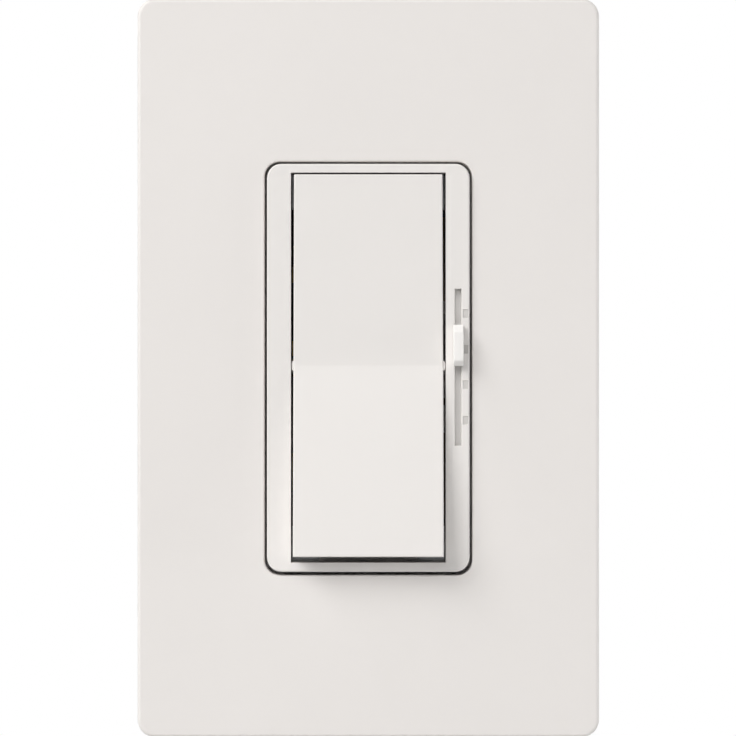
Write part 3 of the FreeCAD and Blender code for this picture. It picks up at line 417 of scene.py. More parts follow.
def over_slot(grid, quads):
    """Which quads lie inside the slot's lip, in front and behind, by their middles."""
    middle = grid.reshape(-1, 3)[quads].mean(axis=1)
    inside_x = np.abs(middle[:, 0] - slot_centre[0]) < slot_half[0] + slot_lip
    inside_z = np.abs(middle[:, 2] - slot_centre[1]) < slot_half[1] + slot_lip
    return inside_x & inside_z

print("rows on the stile", len(face_rows()), "and columns", len(face_columns()))

# %% [markdown]
# The slot's lip is one more ring with a profile: it starts on the square edge of the cells that
# were left out, rolls over and goes down to the back of the face.

# %% Slot lip
def slot_lip_grid():
    """Rings round the slot: the square hole in the grid, the rolled lip and the wall behind it."""
    heights = face_rows() - slot_centre[1]
    heights = heights[np.abs(heights) < slot_half[1] + slot_lip - hair]
    wall_back = face_wall_back - face_front
    rows = []
    for outset, back in quarter(slot_lip, 4)[::-1] + [(0.0, wall_back), (slot_lip, wall_back)]:
        half_x, half_z = slot_half[0] + outset, slot_half[1] + outset
        flat = outline(half_x, -half_z, half_z, 0.0, heights, np.array([]), heights, 1)
        rows.append(at_depth(flat, face_front + back, slot_centre))
    return np.stack(rows)

face, quads = surface(face_grid())
quads = quads[~over_slot(face, quads)]
face_frame = piece("face_frame", [(face, quads), surface(slot_lip_grid())])
place(face_frame, "control_body", "device_plastic", "front_bezel")

# %% [markdown]
# The marks are printed grey as well. The same ramps give each point of the mesh a number, an
# attribute, that says how much of the grey it gets. The finish reads it further down.

# %% Printed grey of the marks
def points_of(mesh):
    """A mesh's points in mm, one row for each."""
    flat = np.empty(len(mesh.vertices) * 3, np.float32)
    mesh.vertices.foreach_get("co", flat)
    return flat.reshape(-1, 3).astype(float) / MM

points = points_of(face_frame.data)
grey = in_mark(points[:, 0], points[:, 2]) * (points[:, 1] < face_front + face_roll)
printed = face_frame.data.attributes.new("printed", "FLOAT", "POINT")
printed.data.foreach_set("value", grey.astype(np.float32))
print("points in the marks", int((grey > 0.5).sum()))

# %% [markdown]
# Behind the new front, the rest of the device frame is the CAD mesh, with all that lies in
# front of the face's wall cut away by a large block.

# %% Back of the face
in_front = [(-far, -far), (-far, far), (face_wall_back, far), (face_wall_back, -far)]
face_back = carved("face_back", "front_bezel", prism(in_front, -far, far))
place(face_back, "control_body", "device_plastic", "front_bezel")

# %% [markdown]
# ## The paddle
# Two flat halves meet in a shallow valley, the crease, over the pivot. In the level frame both
# halves lean by the same angle. At rest the paddle is tilted so that the upper half lies
# flush with the face and the lower half stands out.

# %% Paddle sizes
tilt = math.radians(4.2)
pivot = np.array([0.0, -4.0, 0.07])
crease_depth = 4.4 / math.cos(tilt)
end_gap = 0.27
paddle_half_width = 24.16 / 2
paddle_half_height = (paddle_gap_top - paddle_gap_bottom) / 2 - end_gap - crease_depth * math.sin(tilt)
upper_taper, lower_taper = 0.1, 0.05
paddle_corner = 0.12
least_corner = 1e-4
paddle_roll = 0.22
rim_reach = paddle_roll + flat_lead
end_undercut = 0.09
skin_depth = 1.0
crease_width, crease_extra = 0.08, 0.004
paddle_x_parts = np.linspace(-0.95, 0.95, 9)
half_parts = np.linspace(0.03, 0.97, 14)
paddle_z_parts = np.concatenate([-half_parts[::-1], [-0.004, 0.0, 0.004], half_parts])
print("half a paddle is", round(paddle_half_height, 2), "mm high")

# %% [markdown]
# The paddle's skin is a ring too, with each point's depth from its distance to the crease:
# depth = crease depth + distance x sin(tilt). The ends lean in behind the face, by the undercut
# times the depth, so that they clear the frame when the paddle rocks.

# %% Paddle surface
def face_points(x, length, back):
    """Points of the V: length is measured along a half from the crease, and back runs square to it."""
    c, s = math.cos(tilt), math.sin(tilt)
    length = length * (1 - end_undercut * back / paddle_half_height)
    near = np.exp(-(length / crease_width) ** 2)
    y = -crease_depth - np.abs(length) * s + back * c - crease_extra * near
    z = length * c + np.sign(length) * back * s
    taper = np.where(length > 0, upper_taper, lower_taper) / paddle_half_width
    return np.stack([x * (1 - taper * np.abs(length) / paddle_half_height), y, z], axis=-1)

def tilted(points):
    """Points of the level frame, with the top turned in about the pivot's X axis."""
    c, s = math.cos(tilt), math.sin(tilt)
    y = points[..., 1] * c + points[..., 2] * s
    z = points[..., 2] * c - points[..., 1] * s
    return np.stack([points[..., 0], y, z], axis=-1) + pivot

def paddle_skin():
    """Rings from the back of the skin over the rolled rim to just inside it."""
    stations = [(rim_reach, skin_depth), (0.0, skin_depth), (0.0, rim_reach)]
    rows = []
    for inset, back in stations + quarter(paddle_roll, 5) + [(rim_reach, 0.0)]:
        half_x, half_z = paddle_half_width - inset, paddle_half_height - inset
        corner = max(paddle_corner - inset, least_corner)
        flat = ring(half_x, half_z, corner, paddle_x_parts, paddle_z_parts, 2)
        rows.append(face_points(flat[:, 0], flat[:, 1], back))
    return surface(tilted(np.stack(rows)))

def paddle_middle(back):
    """The flat inside the first or last ring, as rows across it that share the ring's points."""
    half_x, half_z = paddle_half_width - rim_reach, paddle_half_height - rim_reach
    x = np.concatenate([[-half_x], paddle_x_parts * (half_x - least_corner), [half_x]])
    z = np.concatenate([[-half_z], paddle_z_parts * (half_z - least_corner), [half_z]])
    return surface(tilted(face_points(*np.meshgrid(x, z), back)), wrap_columns=False)

print("points round the paddle", paddle_skin()[0].shape[1])

# %% [markdown]
# Beside the crease, a small tab on each side of the paddle reaches into the gap. It keeps the
# paddle centred. Its outline is a superellipse, |x|^4 + |z|^4 = 1, which is a rectangle with
# generous corners, and its front edge is rolled like the others.

# %% Pivot tabs
tab_half, tab_reach, tab_root = 0.8, 0.34, 0.1
tab_front, tab_roll = 0.28, 0.12

def pivot_tab(side):
    """Rings of one tab from its back over the rolled edge to a line inside the paddle's wall."""
    turn = np.linspace(-math.pi / 2, math.pi / 2, 17)
    across = np.sqrt(np.abs(np.cos(turn)))
    along = np.sign(turn) * np.sqrt(np.abs(np.sin(turn)))
    root_x = paddle_half_width - tab_root
    rows = []
    for inset, back in [(0.0, crease_depth - tab_front)] + quarter(tab_roll, 4):
        x = root_x + (tab_reach + tab_root - inset) * across
        z = (tab_half - inset) * along
        rows.append(np.stack([side * x, np.full(x.size, tab_front - crease_depth + back), z], axis=1))
    flat = np.array([0.0, 1.0, 1.0])
    shift = np.array([side * root_x, 0.0, 0.0])
    return surface(tilted(np.stack([rows[0] * flat + shift] + rows + [rows[-1] * flat + shift])))

paddle_surfaces = [paddle_skin(), paddle_middle(0.0), paddle_middle(skin_depth), pivot_tab(-1), pivot_tab(1)]
paddle_face = piece("paddle_face", paddle_surfaces, 50.0)
place(paddle_face, "paddle_body", "device_plastic", "paddle")

# %% [markdown]
# Behind the skin, the paddle is the CAD mesh with its ribs, ears and sleeve. The cutter has the
# shape of a roof: its ridge is the skin's underside at the crease, and its ends lean as the
# skin's ends do. The sides that stay are tapered to match.

# %% Back of the paddle
past_skirt = 6.0
side_band = 0.05
ridge_y = skin_depth / math.cos(tilt) - crease_depth
end_depths = np.array([skin_depth, past_skirt])
upper_end = face_points(np.zeros(2), np.full(2, paddle_half_height), end_depths)[:, 1:]
lower_end = upper_end * np.array([1.0, -1.0])
end_y = upper_end[1, 0]
roof = [(ridge_y, 0.0), *upper_end, (end_y, far), (-far, far), (-far, -far), (end_y, -far), *lower_end[::-1]]
roof = tilted(np.insert(np.array(roof), 0, 0.0, axis=1))[:, 1:]
paddle_back = carved("paddle_back", "paddle", prism(roof, -far, far))

points = points_of(paddle_back.data)
below = np.clip((pivot[2] - points[:, 2]) / paddle_half_height, 0.0, 1.0)
on_side = np.abs(points[:, 0]) > paddle_half_width - side_band
points[:, 0] -= np.sign(points[:, 0]) * on_side * below * lower_taper
paddle_back.data.vertices.foreach_set("co", (points * MM).ravel().astype(np.float32))
place(paddle_back, "paddle_body", "device_plastic", "paddle")

# %% [markdown]
# ## The slide's knob
# The knob is a thin bar with a long bevel at each end, so that a finger catches it from above
# or below. Its section is the same along its length, and only the depth changes.

# %% Knob
knob_half = (1.63 / 2, 6.65 / 2)
knob_centre = (14.50, 3.65)
knob_front, knob_back = -10.4, -8.55
knob_corner, knob_least_corner = 0.15, 0.004
knob_roll, knob_lead = 0.18, 0.04
upper_bevel, lower_bevel = 1.3, 0.98
bevel_depth, bevel_ease = 1.0, 0.4
bevel_parts = np.linspace(1 - upper_bevel / knob_half[1], 0.96, 13)
knob_parts = np.concatenate([-bevel_parts[::-1], np.linspace(-0.45, 0.45, 5), bevel_parts])
stem_half, stem_corner = (0.91 / 2, 6.3 / 2), 0.1
stem_front, stem_back = knob_back - 0.1, -5.2

def knob_depth(z):
    """Flat in the middle. On a bevel, t squared up to the ease and straight on to the bevel's depth."""
    length = np.where(z > 0, upper_bevel, lower_bevel)
    t = np.clip((np.abs(z) - knob_half[1]) / length + 1, 0.0, 1.0)
    eased = np.where(t < bevel_ease, t * t / (2 * bevel_ease), t - bevel_ease / 2)
    return knob_front + bevel_depth * eased / (1 - bevel_ease / 2)

def knob_ring(inset):
    """(x, z) round the knob, set in from its outline."""
    half_x, half_z = knob_half[0] - inset, knob_half[1] - inset
    return ring(half_x, half_z, max(knob_corner - inset, knob_least_corner), np.zeros(1), knob_parts, 3)

def knob_grid():
    """Rings from the back over the rolled edge; their depth follows the knob's side view."""
    inner = knob_roll + knob_lead
    rows = [at_depth(knob_ring(0.0), knob_back, knob_centre)]
    for inset, back in [(0.0, inner)] + quarter(knob_roll, 5) + [(inner, 0.0)]:
        flat = knob_ring(inset)
        rows.append(at_depth(flat, knob_depth(flat[:, 1]) + back, knob_centre))
    return np.stack(rows)

def closed(grid):
    """A grid with a first and a last ring added, drawn together to the knob's middle line."""
    ends = grid[[0, -1]].copy()
    ends[..., 0] = knob_centre[0]
    return np.concatenate([ends[:1], grid, ends[1:]])

stem_stations = [(*stem_half, stem_corner, y, knob_centre[1]) for y in (stem_front, stem_back)]
stem = loft(stem_stations, np.zeros(1), side_parts, 2) + np.array([knob_centre[0], 0.0, 0.0])
slide_knob = piece("slide_knob", [surface(closed(knob_grid())), surface(closed(stem))])
place(slide_knob, "slider_body", "device_plastic", "slider_knob")

# %% [markdown]
# ## Screws
# All screws here share one recipe. The head is a disc drawn as chords: columns at fixed x, each
# cut to the circle's width. That way the driver slot's edges lie exactly on columns, which
# spokes from the middle could not do.

# %% Screw head
driver_half, driver_slope, driver_depth = 0.44, 0.07, 0.7
chord_turns = np.linspace(-1.0, 1.0, 19) * math.pi / 2
chord_parts = np.sin(np.linspace(-1.0, 1.0, 25) * math.pi / 2)

def head_lines(radius):
    """x of the chords: radius x sin of even turns, and a pair of lines at each edge of the driver slot."""
    x = radius * np.sin(chord_turns)
    x = x[np.abs(np.abs(x) - driver_half + driver_slope / 2) > driver_slope]
    edges = np.array([driver_half - driver_slope, driver_half])
    return np.sort(np.concatenate([x, -edges, edges]))

def head_top(radius, height, edge, crown):
    """Chord grid over the plane y = 0, facing -Y: a crown that falls as the distance squared, a
    quarter circle over the edge, and the driver slot down to its depth."""
    x, part = np.meshgrid(head_lines(radius), chord_parts, indexing="ij")
    z = part * np.sqrt(np.maximum(radius ** 2 - x ** 2, 0.0))
    out = np.sqrt(x ** 2 + z ** 2) / radius
    over_edge = np.clip((out - 1) * radius / edge + 1, 0.0, 1.0)
    fall = crown * out ** 2 + edge * (1 - np.sqrt(1 - over_edge ** 2))
    fall = fall + ramp(x, driver_half, driver_slope) * np.maximum(driver_depth - fall, 0.0)
    return np.stack([x, fall - height, z], axis=-1)

def head_sides(top, narrowing):
    """Rings from the chord grid's border to the base plane, where they are narrower, and in to its middle."""
    border = np.concatenate([top[:, -1], top[::-1, 0]])
    base = border * np.array([narrowing, 0.0, narrowing])
    return np.stack([border, base, base * 0.0])

print("chords on a head of 3.3 mm", len(head_lines(3.3)))

# %% [markdown]
# The thread is a sheet whose rows climb by one pitch in a full turn, as the real helix does, so
# that its crest and root are clean lines. It fades out below the head and towards the tip.

# %% Screw thread
thread_columns = 37
flank_places = np.array([0.0, 0.12, 0.25, 0.42, 0.58, 0.75, 0.88])
flank_gain, flank_shift = 1.3, 0.15
thread_fade = 1.2
tip_length, tip_share = 0.3, 0.75

def thread_sheet(crest, root, pitch, length):
    """Rows at y = row + pitch x turn, kept within both ends. The radius goes from crest to root and
    back in one pitch, with a short flat on each, and shrinks to a share of itself at the tip."""
    turns = int(length / pitch) + 2
    rows = pitch * (np.arange(turns)[:, None] - 1 + flank_places).ravel()
    row, turn = np.meshgrid(rows, np.linspace(0.0, 1.0, thread_columns), indexing="ij")
    y = np.clip(row + pitch * turn, 0.0, length)
    wave = np.abs((y / pitch - turn) % 1.0 * 2 - 1)
    fade = np.clip(y / pitch, 0, 1) * np.clip((length - y) / thread_fade, 0, 1)
    radius = root + (crest - root) * np.clip(wave * flank_gain - flank_shift, 0, 1) * fade
    radius = radius * (tip_share + (1 - tip_share) * np.clip((length - y) / tip_length, 0, 1))
    angle = 2 * math.pi * turn
    side = np.stack([radius * np.cos(angle), y, radius * np.sin(angle)], axis=-1)
    axis = np.array([0.0, 1.0, 0.0])
    return np.concatenate([(side[0] * axis)[None], side, (side[-1] * axis)[None]])

def screw_surfaces(head, thread, length, narrowing):
    """Surfaces of one screw along +Y: its head in front of y = 0 and its thread behind."""
    top = head_top(*head)
    return [surface(top, wrap_columns=False), surface(head_sides(top, narrowing)),
            surface(thread_sheet(*thread, length), wrap_columns=False)]

def moved(surfaces, origin, along, turn):
    """Surfaces turned so that +Y runs along a direction, spun about it, and moved to an origin in mm."""
    up = np.array([0.0, 0.0, 1.0])
    third = np.cross(up, along)
    c, s = math.cos(turn), math.sin(turn)
    columns = np.stack([s * up - c * third, along, s * third + c * up], axis=1)
    return [(points @ columns.T + origin, quads) for points, quads in surfaces]

print("rows in one turn of a thread", len(flank_places))

# %% [markdown]
# Where each screw sits comes from the CAD: a node's box gives the plane under the heads and the
# length. The spacings are those of the standard wall box and plate. A head is its radius,
# height, rolled edge and crown, and a thread its crest, root and pitch. Each screw stands at
# an angle of its own, as a hand leaves it.

# %% Place the screws
machine_thread = (1.75, 1.4, 0.794)
housing_thread = (1.25, 1.05, 0.6)
box_head = (3.3, 2.0, 0.7, 0.9)
adapter_head, adapter_narrowing = (2.93, 1.15, 0.1, 0.06), 0.59
binding_head = (3.4, 1.9, 0.35, 0.25)
housing_head = (2.1, 1.5, 0.45, 0.5)
box_spacing, adapter_spacing, terminal_spacing, housing_spacing = 83.3, 96.8, 19.0, 58.8

def node_box(node):
    """Lowest and highest corner of a CAD node in mm."""
    low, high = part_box(node)
    return np.array([low, high]) / MM

def screw_row(name, node, slot, head, thread, turns, spacing=0.0, axis=1, way=1, narrowing=1.0):
    """All screws of one CAD node as one piece, in a row along Z, pointing one way along an axis."""
    near, end = node_box(node)[::way]
    origin = (near + end) / 2
    origin[axis] = near[axis] + way * head[1]
    one = screw_surfaces(head, thread, abs(end[axis] - origin[axis]), narrowing)
    surfaces = []
    for number, turn in enumerate(turns):
        height = spacing * (number - (len(turns) - 1) / 2)
        surfaces += moved(one, origin + np.array([0.0, 0.0, height]), way * np.eye(3)[axis], turn)
    return place(piece(name, surfaces), "control_body", slot, node)

screw_row("box_screw_pair", "box_screws", "screw_steel", box_head, machine_thread, (1.25, 0.35), box_spacing)
screw_row("adapter_screw_pair", "adapter_screws", "screw_steel", adapter_head, machine_thread, (0.7, 1.9),
          adapter_spacing, narrowing=adapter_narrowing)
screw_row("ground_screw_green", "ground_screw", "ground_green", binding_head, machine_thread, (0.6,), axis=0)
screw_row("terminal_screw_set", "terminal_screws", "terminal_brass", binding_head, machine_thread,
          (0.3, 1.9, 1.1), terminal_spacing, axis=0)
screw_row("housing_screw_pair", "housing_screws", "screw_steel", housing_head, housing_thread, (0.9, 2.2),
          housing_spacing, way=-1)

# %% [markdown]
# ## Metal and moulded pieces behind the plate
# The strap, the adapter and the small parts are right as the CAD has them, but a real stamping
# or moulding has no razor edges. A copy of each gets a Bevel modifier, which is quicker than a
# new surface and keeps every hole where it is.

# %% Soft edged copies
def soft_copy(name, node, slot, bevel, segments=2):
    """A copy of a CAD node with rounded edges, which stands for it."""
    return place(finished(name, merged_copy(node), bevel, segments), "control_body", slot, node)

soft_copy("mounting_strap", "yoke", "strap_steel", 0.14)
soft_copy("sub_plate", "plate_adapter", "adapter_plastic", 0.16)
soft_copy("wire_clamps", "clamp_plates", "screw_steel", 0.1)
soft_copy("fibre_squares", "screw_retainers", "fibre_sheet", 0.06, 1)
soft_copy("film_capacitor_large", "capacitor_large", "capacitor_case", 0.5, 3)
soft_copy("film_capacitor_small", "capacitor_small", "capacitor_case", 0.5, 3)

# %% [markdown]
# The housing's back has a shallow recess with rounded corners, where such a body carries its
# rating plate. Here it is bare. It is carved before the edges are rounded, so that its rim is
# as soft as the rest.

# %% Housing with its recess
recess_half, recess_corner, recess_depth = (13.0, 19.0), 1.6, 0.5
housing_bevel = 0.22
housing_back = node_box("back_housing")[1, 1]
recess_flat = ring(*recess_half, recess_corner, np.zeros(1), np.zeros(1), 6)
recess = prism(recess_flat, housing_back - recess_depth, housing_back + recess_depth, axis=1)
housing = carved("back_body", "back_housing", recess, housing_bevel)
place(housing, "control_body", "housing_plastic", "back_housing")

# %% [markdown]
# ## Finishes
# The finishes are node trees that read Object coordinates, so they need no UV map and stay on
# the piece when it moves. What several of them need is built once, as a node group: a
# moulded skin, a rolled metal skin, and a fibre skin.

# %% Node helpers
def fill(tree, socket, value):
    """Sets a socket to a number, or links another socket to it."""
    if isinstance(value, (int, float)):
        socket.default_value = value
    else:
        tree.links.new(value, socket)

def noise(tree, vector, scale, detail=3.0, roughness=0.5):
    """A noise texture on a vector; scale may be a number or a socket."""
    made = tree.nodes.new("ShaderNodeTexNoise")
    made.inputs["Detail"].default_value = detail
    made.inputs["Roughness"].default_value = roughness
    tree.links.new(vector, made.inputs["Vector"])
    fill(tree, made.inputs["Scale"], scale)
    return made.outputs["Fac"]

def maths(tree, operation, a, b):
    """A Math node on sockets or numbers."""
    made = tree.nodes.new("ShaderNodeMath")
    made.operation = operation
    fill(tree, made.inputs[0], a)
    fill(tree, made.inputs[1], b)
    return made.outputs["Value"]

def spread(tree, value, start, end, low, high, kind="LINEAR"):
    """Maps a value's range from start to end onto the range from low to high."""
    made = tree.nodes.new("ShaderNodeMapRange")
    made.interpolation_type = kind
    for socket, limit in zip(("From Min", "From Max", "To Min", "To Max"), (start, end, low, high)):
        made.inputs[socket].default_value = limit
    tree.links.new(value, made.inputs["Value"])
    return made.outputs["Result"]

def skin_group(name, settings):
    """An empty group: a vector and named settings go in, and patches, gloss and height come out."""
    group = bpy.data.node_groups.new(name, "ShaderNodeTree")
    group.interface.new_socket(name="Vector", in_out="INPUT", socket_type="NodeSocketVector")
    for output in ("Patches", "Gloss", "Height"):
        group.interface.new_socket(name=output, in_out="OUTPUT", socket_type="NodeSocketFloat")
    for setting, value in settings.items():
        made = group.interface.new_socket(name=setting, in_out="INPUT", socket_type="NodeSocketFloat")
        made.default_value = value
    print("group", name)
    return group, group.nodes.new("NodeGroupInput").outputs, group.nodes.new("NodeGroupOutput").inputs

# %% [markdown]
# A moulded skin has three scales: the fine grain of the tool, a faint ripple where the plastic
# shrank, and broad patches where it is a little glossier. Fine grain and ripple are height,
# and the patches are a mask for colour and gloss.

# %% Group for moulded plastic
moulded, given, result = skin_group("moulded_skin", {"Grain Scale": 2500.0, "Ripple Scale": 220.0,
                                                     "Ripple Share": 0.5})
grain = noise(moulded, given["Vector"], given["Grain Scale"], 2.0)
ripple = noise(moulded, given["Vector"], given["Ripple Scale"], 1.0)
patches = noise(moulded, given["Vector"], 35.0)
fine_gloss = noise(moulded, given["Vector"], 420.0, 4.0, 0.6)
height = maths(moulded, "ADD", grain, maths(moulded, "MULTIPLY", ripple, given["Ripple Share"]))
moulded.links.new(patches, result["Patches"])
moulded.links.new(fine_gloss, result["Gloss"])
moulded.links.new(height, result["Height"])

# %% [markdown]
# Rolled metal has lines along the direction it was rolled in. Squeezing the coordinates along
# one axis stretches the noise into streaks, and a second, round noise breaks them up.

# %% Group for rolled metal
rolled, given, result = skin_group("rolled_skin", {"Line Scale": 1800.0})
squeeze = rolled.nodes.new("ShaderNodeMapping")
squeeze.inputs["Scale"].default_value = (1.0, 1.0, 0.03)
rolled.links.new(given["Vector"], squeeze.inputs["Vector"])
lines = noise(rolled, squeeze.outputs["Vector"], given["Line Scale"], 3.0, 0.6)
patches = noise(rolled, given["Vector"], 90.0, 4.0, 0.55)
pits = noise(rolled, given["Vector"], 1400.0, 2.0)
rolled.links.new(patches, result["Patches"])
rolled.links.new(maths(rolled, "MULTIPLY", maths(rolled, "ADD", lines, patches), 0.5), result["Gloss"])
rolled.links.new(maths(rolled, "ADD", lines, maths(rolled, "MULTIPLY", pits, 0.35)), result["Height"])

# %% [markdown]
# Pressed fibre is a mat of short strands. They are streaks again, and a slow noise is added to
# the coordinates first, so that the strands bend.

# %% Group for pressed fibre
fibrous, given, result = skin_group("fibre_skin", {"Fibre Scale": 900.0})
squeeze = fibrous.nodes.new("ShaderNodeMapping")
squeeze.inputs["Scale"].default_value = (1.0, 1.0, 0.15)
fibrous.links.new(given["Vector"], squeeze.inputs["Vector"])
bent = fibrous.nodes.new("ShaderNodeVectorMath")
bent.operation = "ADD"
bend = noise(fibrous, given["Vector"], 160.0, 2.0)
fibrous.links.new(squeeze.outputs["Vector"], bent.inputs[0])
fibrous.links.new(maths(fibrous, "MULTIPLY", bend, 0.002), bent.inputs[1])
strands = noise(fibrous, bent.outputs["Vector"], given["Fibre Scale"], 4.0, 0.65)
fibrous.links.new(noise(fibrous, given["Vector"], 120.0), result["Patches"])
fibrous.links.new(strands, result["Gloss"])
fibrous.links.new(strands, result["Height"])

# %% [markdown]
# One function makes a finish from a group: the patches shift the colour between two close
# tones, the gloss mask moves the roughness, and the height goes through a Bump node. What is
# the same all over the surface, such as the metallic value, is set on the shader itself.

# %% Finish helper
useful_noise = (0.3, 0.7)
finishes = {}

def tone(colour, factor):
    """A colour made lighter or darker, as RGBA."""
    return tuple(min(1.0, c * factor) for c in colour) + (1.0,)

def finish(name, group, colour, rough, bump, metallic=0.0, swing=0.02, grain=None, coat=(0.0, 0.1),
           depth=0.00002):
    """A material from a skin group: a colour and its swing, a roughness range, the bump's strength and
    depth in metres, and a coat's weight and roughness."""
    made = bpy.data.materials.new(name)
    made.use_nodes = True
    tree = made.node_tree
    shader = tree.nodes["Principled BSDF"]
    where = tree.nodes.new("ShaderNodeTexCoord")
    skin = tree.nodes.new("ShaderNodeGroup")
    skin.node_tree = group
    tree.links.new(where.outputs["Object"], skin.inputs["Vector"])
    if grain:
        skin.inputs["Grain Scale"].default_value = grain
    tones = tree.nodes.new("ShaderNodeValToRGB")
    darker, lighter = tones.color_ramp.elements
    darker.position, lighter.position = useful_noise
    darker.color, lighter.color = tone(colour, 1 - swing), tone(colour, 1 + swing)
    tree.links.new(skin.outputs["Patches"], tones.inputs["Fac"])
    tree.links.new(tones.outputs["Color"], shader.inputs["Base Color"])
    tree.links.new(spread(tree, skin.outputs["Gloss"], *useful_noise, *rough), shader.inputs["Roughness"])
    bumps = tree.nodes.new("ShaderNodeBump")
    bumps.inputs["Strength"].default_value = bump
    bumps.inputs["Distance"].default_value = depth
    tree.links.new(skin.outputs["Height"], bumps.inputs["Height"])
    tree.links.new(bumps.outputs["Normal"], shader.inputs["Normal"])
    shader.inputs["Metallic"].default_value = metallic
    shader.inputs["Coat Weight"].default_value = coat[0]
    shader.inputs["Coat Roughness"].default_value = coat[1]
    finishes[name] = made
    return made

print("a grey made a tenth lighter", tone((0.5, 0.5, 0.5), 1.1))

# %% [markdown]
# The plate, the device and its knob are three near whites, and the knob is the brightest: its white is the
# device white painted lighter, painted light for the extra light that the proud knob catches.
# Everything behind them has its own kind of plastic, steel, brass or fibre.

# %% Finishes of this object
finish("plate_plastic", moulded, (0.79, 0.765, 0.745), (0.42, 0.52), 0.15, swing=0.006, grain=1800.0)
finish("device_plastic", moulded, (0.795, 0.773, 0.753), (0.40, 0.50), 0.15, swing=0.006, grain=2000.0)
# Painted light: the device white made lighter for the extra light on the proud knob.
finish("knob_plastic_painted_light", moulded, (0.875, 0.862, 0.845), (0.38, 0.48), 0.12, swing=0.006, grain=2200.0)
finish("adapter_plastic", moulded, (0.72, 0.70, 0.65), (0.45, 0.6), 0.4)
finish("inner_plastic", moulded, (0.62, 0.58, 0.49), (0.45, 0.6), 0.4, swing=0.03)
finish("base_plastic", moulded, (0.02, 0.02, 0.022), (0.45, 0.62), 0.6, swing=0.12, grain=1600.0)
finish("housing_plastic", moulded, (0.022, 0.022, 0.024), (0.48, 0.58), 0.7, swing=0.06, grain=1500.0,
       depth=0.00004)
finish("strap_steel", rolled, (0.50, 0.51, 0.52), (0.38, 0.54), 0.35, 1.0, 0.06)
finish("screw_steel", rolled, (0.56, 0.56, 0.56), (0.28, 0.46), 0.3, 1.0, 0.06)
finish("spring_steel", rolled, (0.58, 0.58, 0.58), (0.2, 0.32), 0.2, 1.0, 0.04)
finish("ground_green", rolled, (0.02, 0.22, 0.06), (0.3, 0.48), 0.3, 0.85, 0.12)
finish("terminal_brass", rolled, (0.62, 0.42, 0.13), (0.24, 0.42), 0.3, 1.0, 0.07)
finish("contact_brass", rolled, (0.60, 0.40, 0.14), (0.26, 0.44), 0.35, 1.0, 0.08)
finish("contact_silver", rolled, (0.72, 0.70, 0.66), (0.2, 0.36), 0.2, 1.0, 0.05)
finish("board_laminate", fibrous, (0.28, 0.13, 0.045), (0.42, 0.6), 0.4, swing=0.15)
finish("capacitor_case", moulded, (0.62, 0.36, 0.03), (0.24, 0.36), 0.3, swing=0.06, coat=(0.3, 0.2))
finish("resistor_body", moulded, (0.66, 0.63, 0.56), (0.6, 0.8), 0.8, swing=0.06, grain=2200.0)
finish("fibre_sheet", fibrous, (0.115, 0.095, 0.08), (0.62, 0.85), 0.9, swing=0.2, depth=0.00006)
print("finishes", len(finishes))

# %% [markdown]
# The device plastic gets the marks' grey on top: a Mix node goes from the plastic's own colour
# to the grey by the attribute that the face carries.

# %% Grey over the device plastic
printed_grey = (0.60, 0.585, 0.565, 1.0)
tree = finishes["device_plastic"].node_tree
base_colour = tree.nodes["Principled BSDF"].inputs["Base Color"]
grey_share = tree.nodes.new("ShaderNodeAttribute")
grey_share.attribute_name = "printed"
print_over = tree.nodes.new("ShaderNodeMix")
print_over.data_type = "RGBA"
print_over.inputs["B"].default_value = printed_grey
tree.links.new(grey_share.outputs["Fac"], print_over.inputs["Factor"])
tree.links.new(base_colour.links[0].from_socket, print_over.inputs["A"])
tree.links.new(print_over.outputs["Result"], base_colour)
print("grey of the marks", printed_grey[:3])

# %% [markdown]
# ## Dressing every piece
# The record says which slot each CAD node has, and each new piece says its own. Both get the
# finish of that slot, so nothing is left with its plain import colour. The knob and its
# carriage get the knob's brighter white instead, a lighter copy of the device white that is
# painted light.

# %% Put the finishes on
def dress(made, material):
    """Every material slot of an object shows one finish."""
    if not made.material_slots:
        made.data.materials.append(material)
    for each in made.material_slots:
        each.link = "OBJECT"
        each.material = material

slots_of_nodes = {part["node"]: part["material_slot"] for part in frame["record"]["subparts"]}
for node, made in frame["nodes"].items():
    dress(made, finishes[slots_of_nodes[node]])
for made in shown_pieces():
    if "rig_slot" in made:
        dress(made, finishes[made["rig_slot"]])
# Painted light: the knob and its carriage in the slot take the lighter copy of the device white.
for made in (slide_knob, frame["nodes"]["slider_carriage"]):
    dress(made, finishes["knob_plastic_painted_light"])

# %% [markdown]
# ## Sky
# The photograph's background is pure white. A dim sky is enough to fill the shadows of the
# lamps. The camera sees it as white through Light Path, and so do metal and glass, without more
# light on the object.

# %% Sky
sky_level = 0.035

def seen_as_white(tree):
    """1 for camera, glossy and transmission rays, else 0."""
    path = tree.nodes.new("ShaderNodeLightPath")
    either = maths(tree, "MAXIMUM", path.outputs["Is Camera Ray"], path.outputs["Is Glossy Ray"])
    return maths(tree, "MAXIMUM", either, path.outputs["Is Transmission Ray"])

sky = bpy.data.worlds.new("studio_sky")
sky.use_nodes = True
bpy.context.scene.world = sky
tree = sky.node_tree
background = tree.nodes["Background"]
background.inputs["Color"].default_value = (1.0, 1.0, 1.0, 1.0)
level = maths(tree, "ADD", maths(tree, "MULTIPLY", seen_as_white(tree), 1.0 - sky_level), sky_level)
tree.links.new(level, background.inputs["Strength"])
print("sky level", sky_level)

# %% [markdown]
# ## Floor
# A large sheet of matt white paper lies well below the object and takes its soft shadow. With
# distance it fades to plain white, so that no horizon shows.

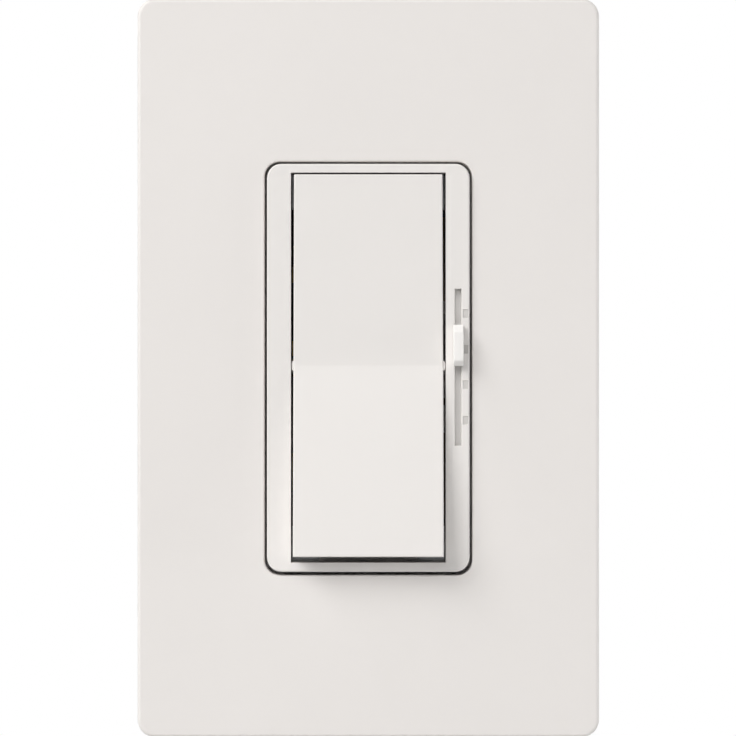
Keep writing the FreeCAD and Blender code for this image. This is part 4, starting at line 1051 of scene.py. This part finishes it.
# %% Floor
floor_z, floor_half = -0.20, 0.75
fade_from, fade_to, least_white = 0.3, 0.7, 0.45
corners = [(x * floor_half, y * floor_half, floor_z) for x, y in ((-1, -1), (1, -1), (1, 1), (-1, 1))]
floor_mesh = bpy.data.meshes.new("floor")
floor_mesh.from_pydata(corners, [], [(0, 1, 2, 3)])
floor = bpy.data.objects.new("floor", floor_mesh)
bpy.context.scene.collection.objects.link(floor)
floor_paint = finish("floor_paint", moulded, (0.86, 0.86, 0.86), (0.6, 0.75), 0.2, swing=0.01, grain=300.0)
floor_mesh.materials.append(floor_paint)

tree = floor_paint.node_tree
where = tree.nodes.new("ShaderNodeTexCoord")
distance = tree.nodes.new("ShaderNodeVectorMath")
distance.operation = "LENGTH"
tree.links.new(where.outputs["Object"], distance.inputs[0])
fade = spread(tree, distance.outputs["Value"], fade_from, fade_to, least_white, 1.0, "SMOOTHSTEP")
paper = tree.nodes.new("ShaderNodeEmission")
paper.inputs["Strength"].default_value = 1.0
over = tree.nodes.new("ShaderNodeMixShader")
tree.links.new(maths(tree, "MULTIPLY", fade, seen_as_white(tree)), over.inputs["Fac"])
tree.links.new(tree.nodes["Principled BSDF"].outputs["BSDF"], over.inputs[1])
tree.links.new(paper.outputs["Emission"], over.inputs[2])
tree.links.new(over.outputs["Shader"], tree.nodes["Material Output"].inputs["Surface"])
print("floor at", floor_z)

# %% [markdown]
# ## Lamps
# The light comes softly from the upper left. A large key lamp there gives the long soft shadow
# under the paddle, a second lamp from above lightens it, and a small one from the side draws
# the right rims. The fourth lights the back, which the photograph does not show.

# %% Lamps
warm_white = (1.0, 0.985, 0.97)

def area_lamp(name, tilt_degrees, turn_degrees, distance, size, power, colour=(1.0, 1.0, 1.0)):
    """A square lamp aimed at the middle. Tilt is from straight in front, turn from the right, upwards."""
    off, turn = math.radians(tilt_degrees), math.radians(turn_degrees)
    away = np.array([math.sin(off) * math.cos(turn), -math.cos(off), math.sin(off) * math.sin(turn)])
    data = bpy.data.lights.new(name, "AREA")
    data.size = size
    data.energy = power
    data.color = colour
    made = bpy.data.objects.new(name, data)
    made.location = away * distance
    made.rotation_euler = (math.acos(away[2]), 0.0, math.atan2(away[0], -away[1]))
    made.visible_camera = False
    bpy.context.scene.collection.objects.link(made)
    print("lamp", name, power, "W")

area_lamp("key", 55, 135, 2.2, 1.4, 47.2, warm_white)
area_lamp("top", 34, 90, 2.2, 1.4, 10.5)
area_lamp("rim_light", 88, 358, 1.2, 0.4, 5.0)
area_lamp("back_light", 150, 25, 2.2, 1.9, 15.0)
bpy.context.scene.view_settings.view_transform = "Standard"
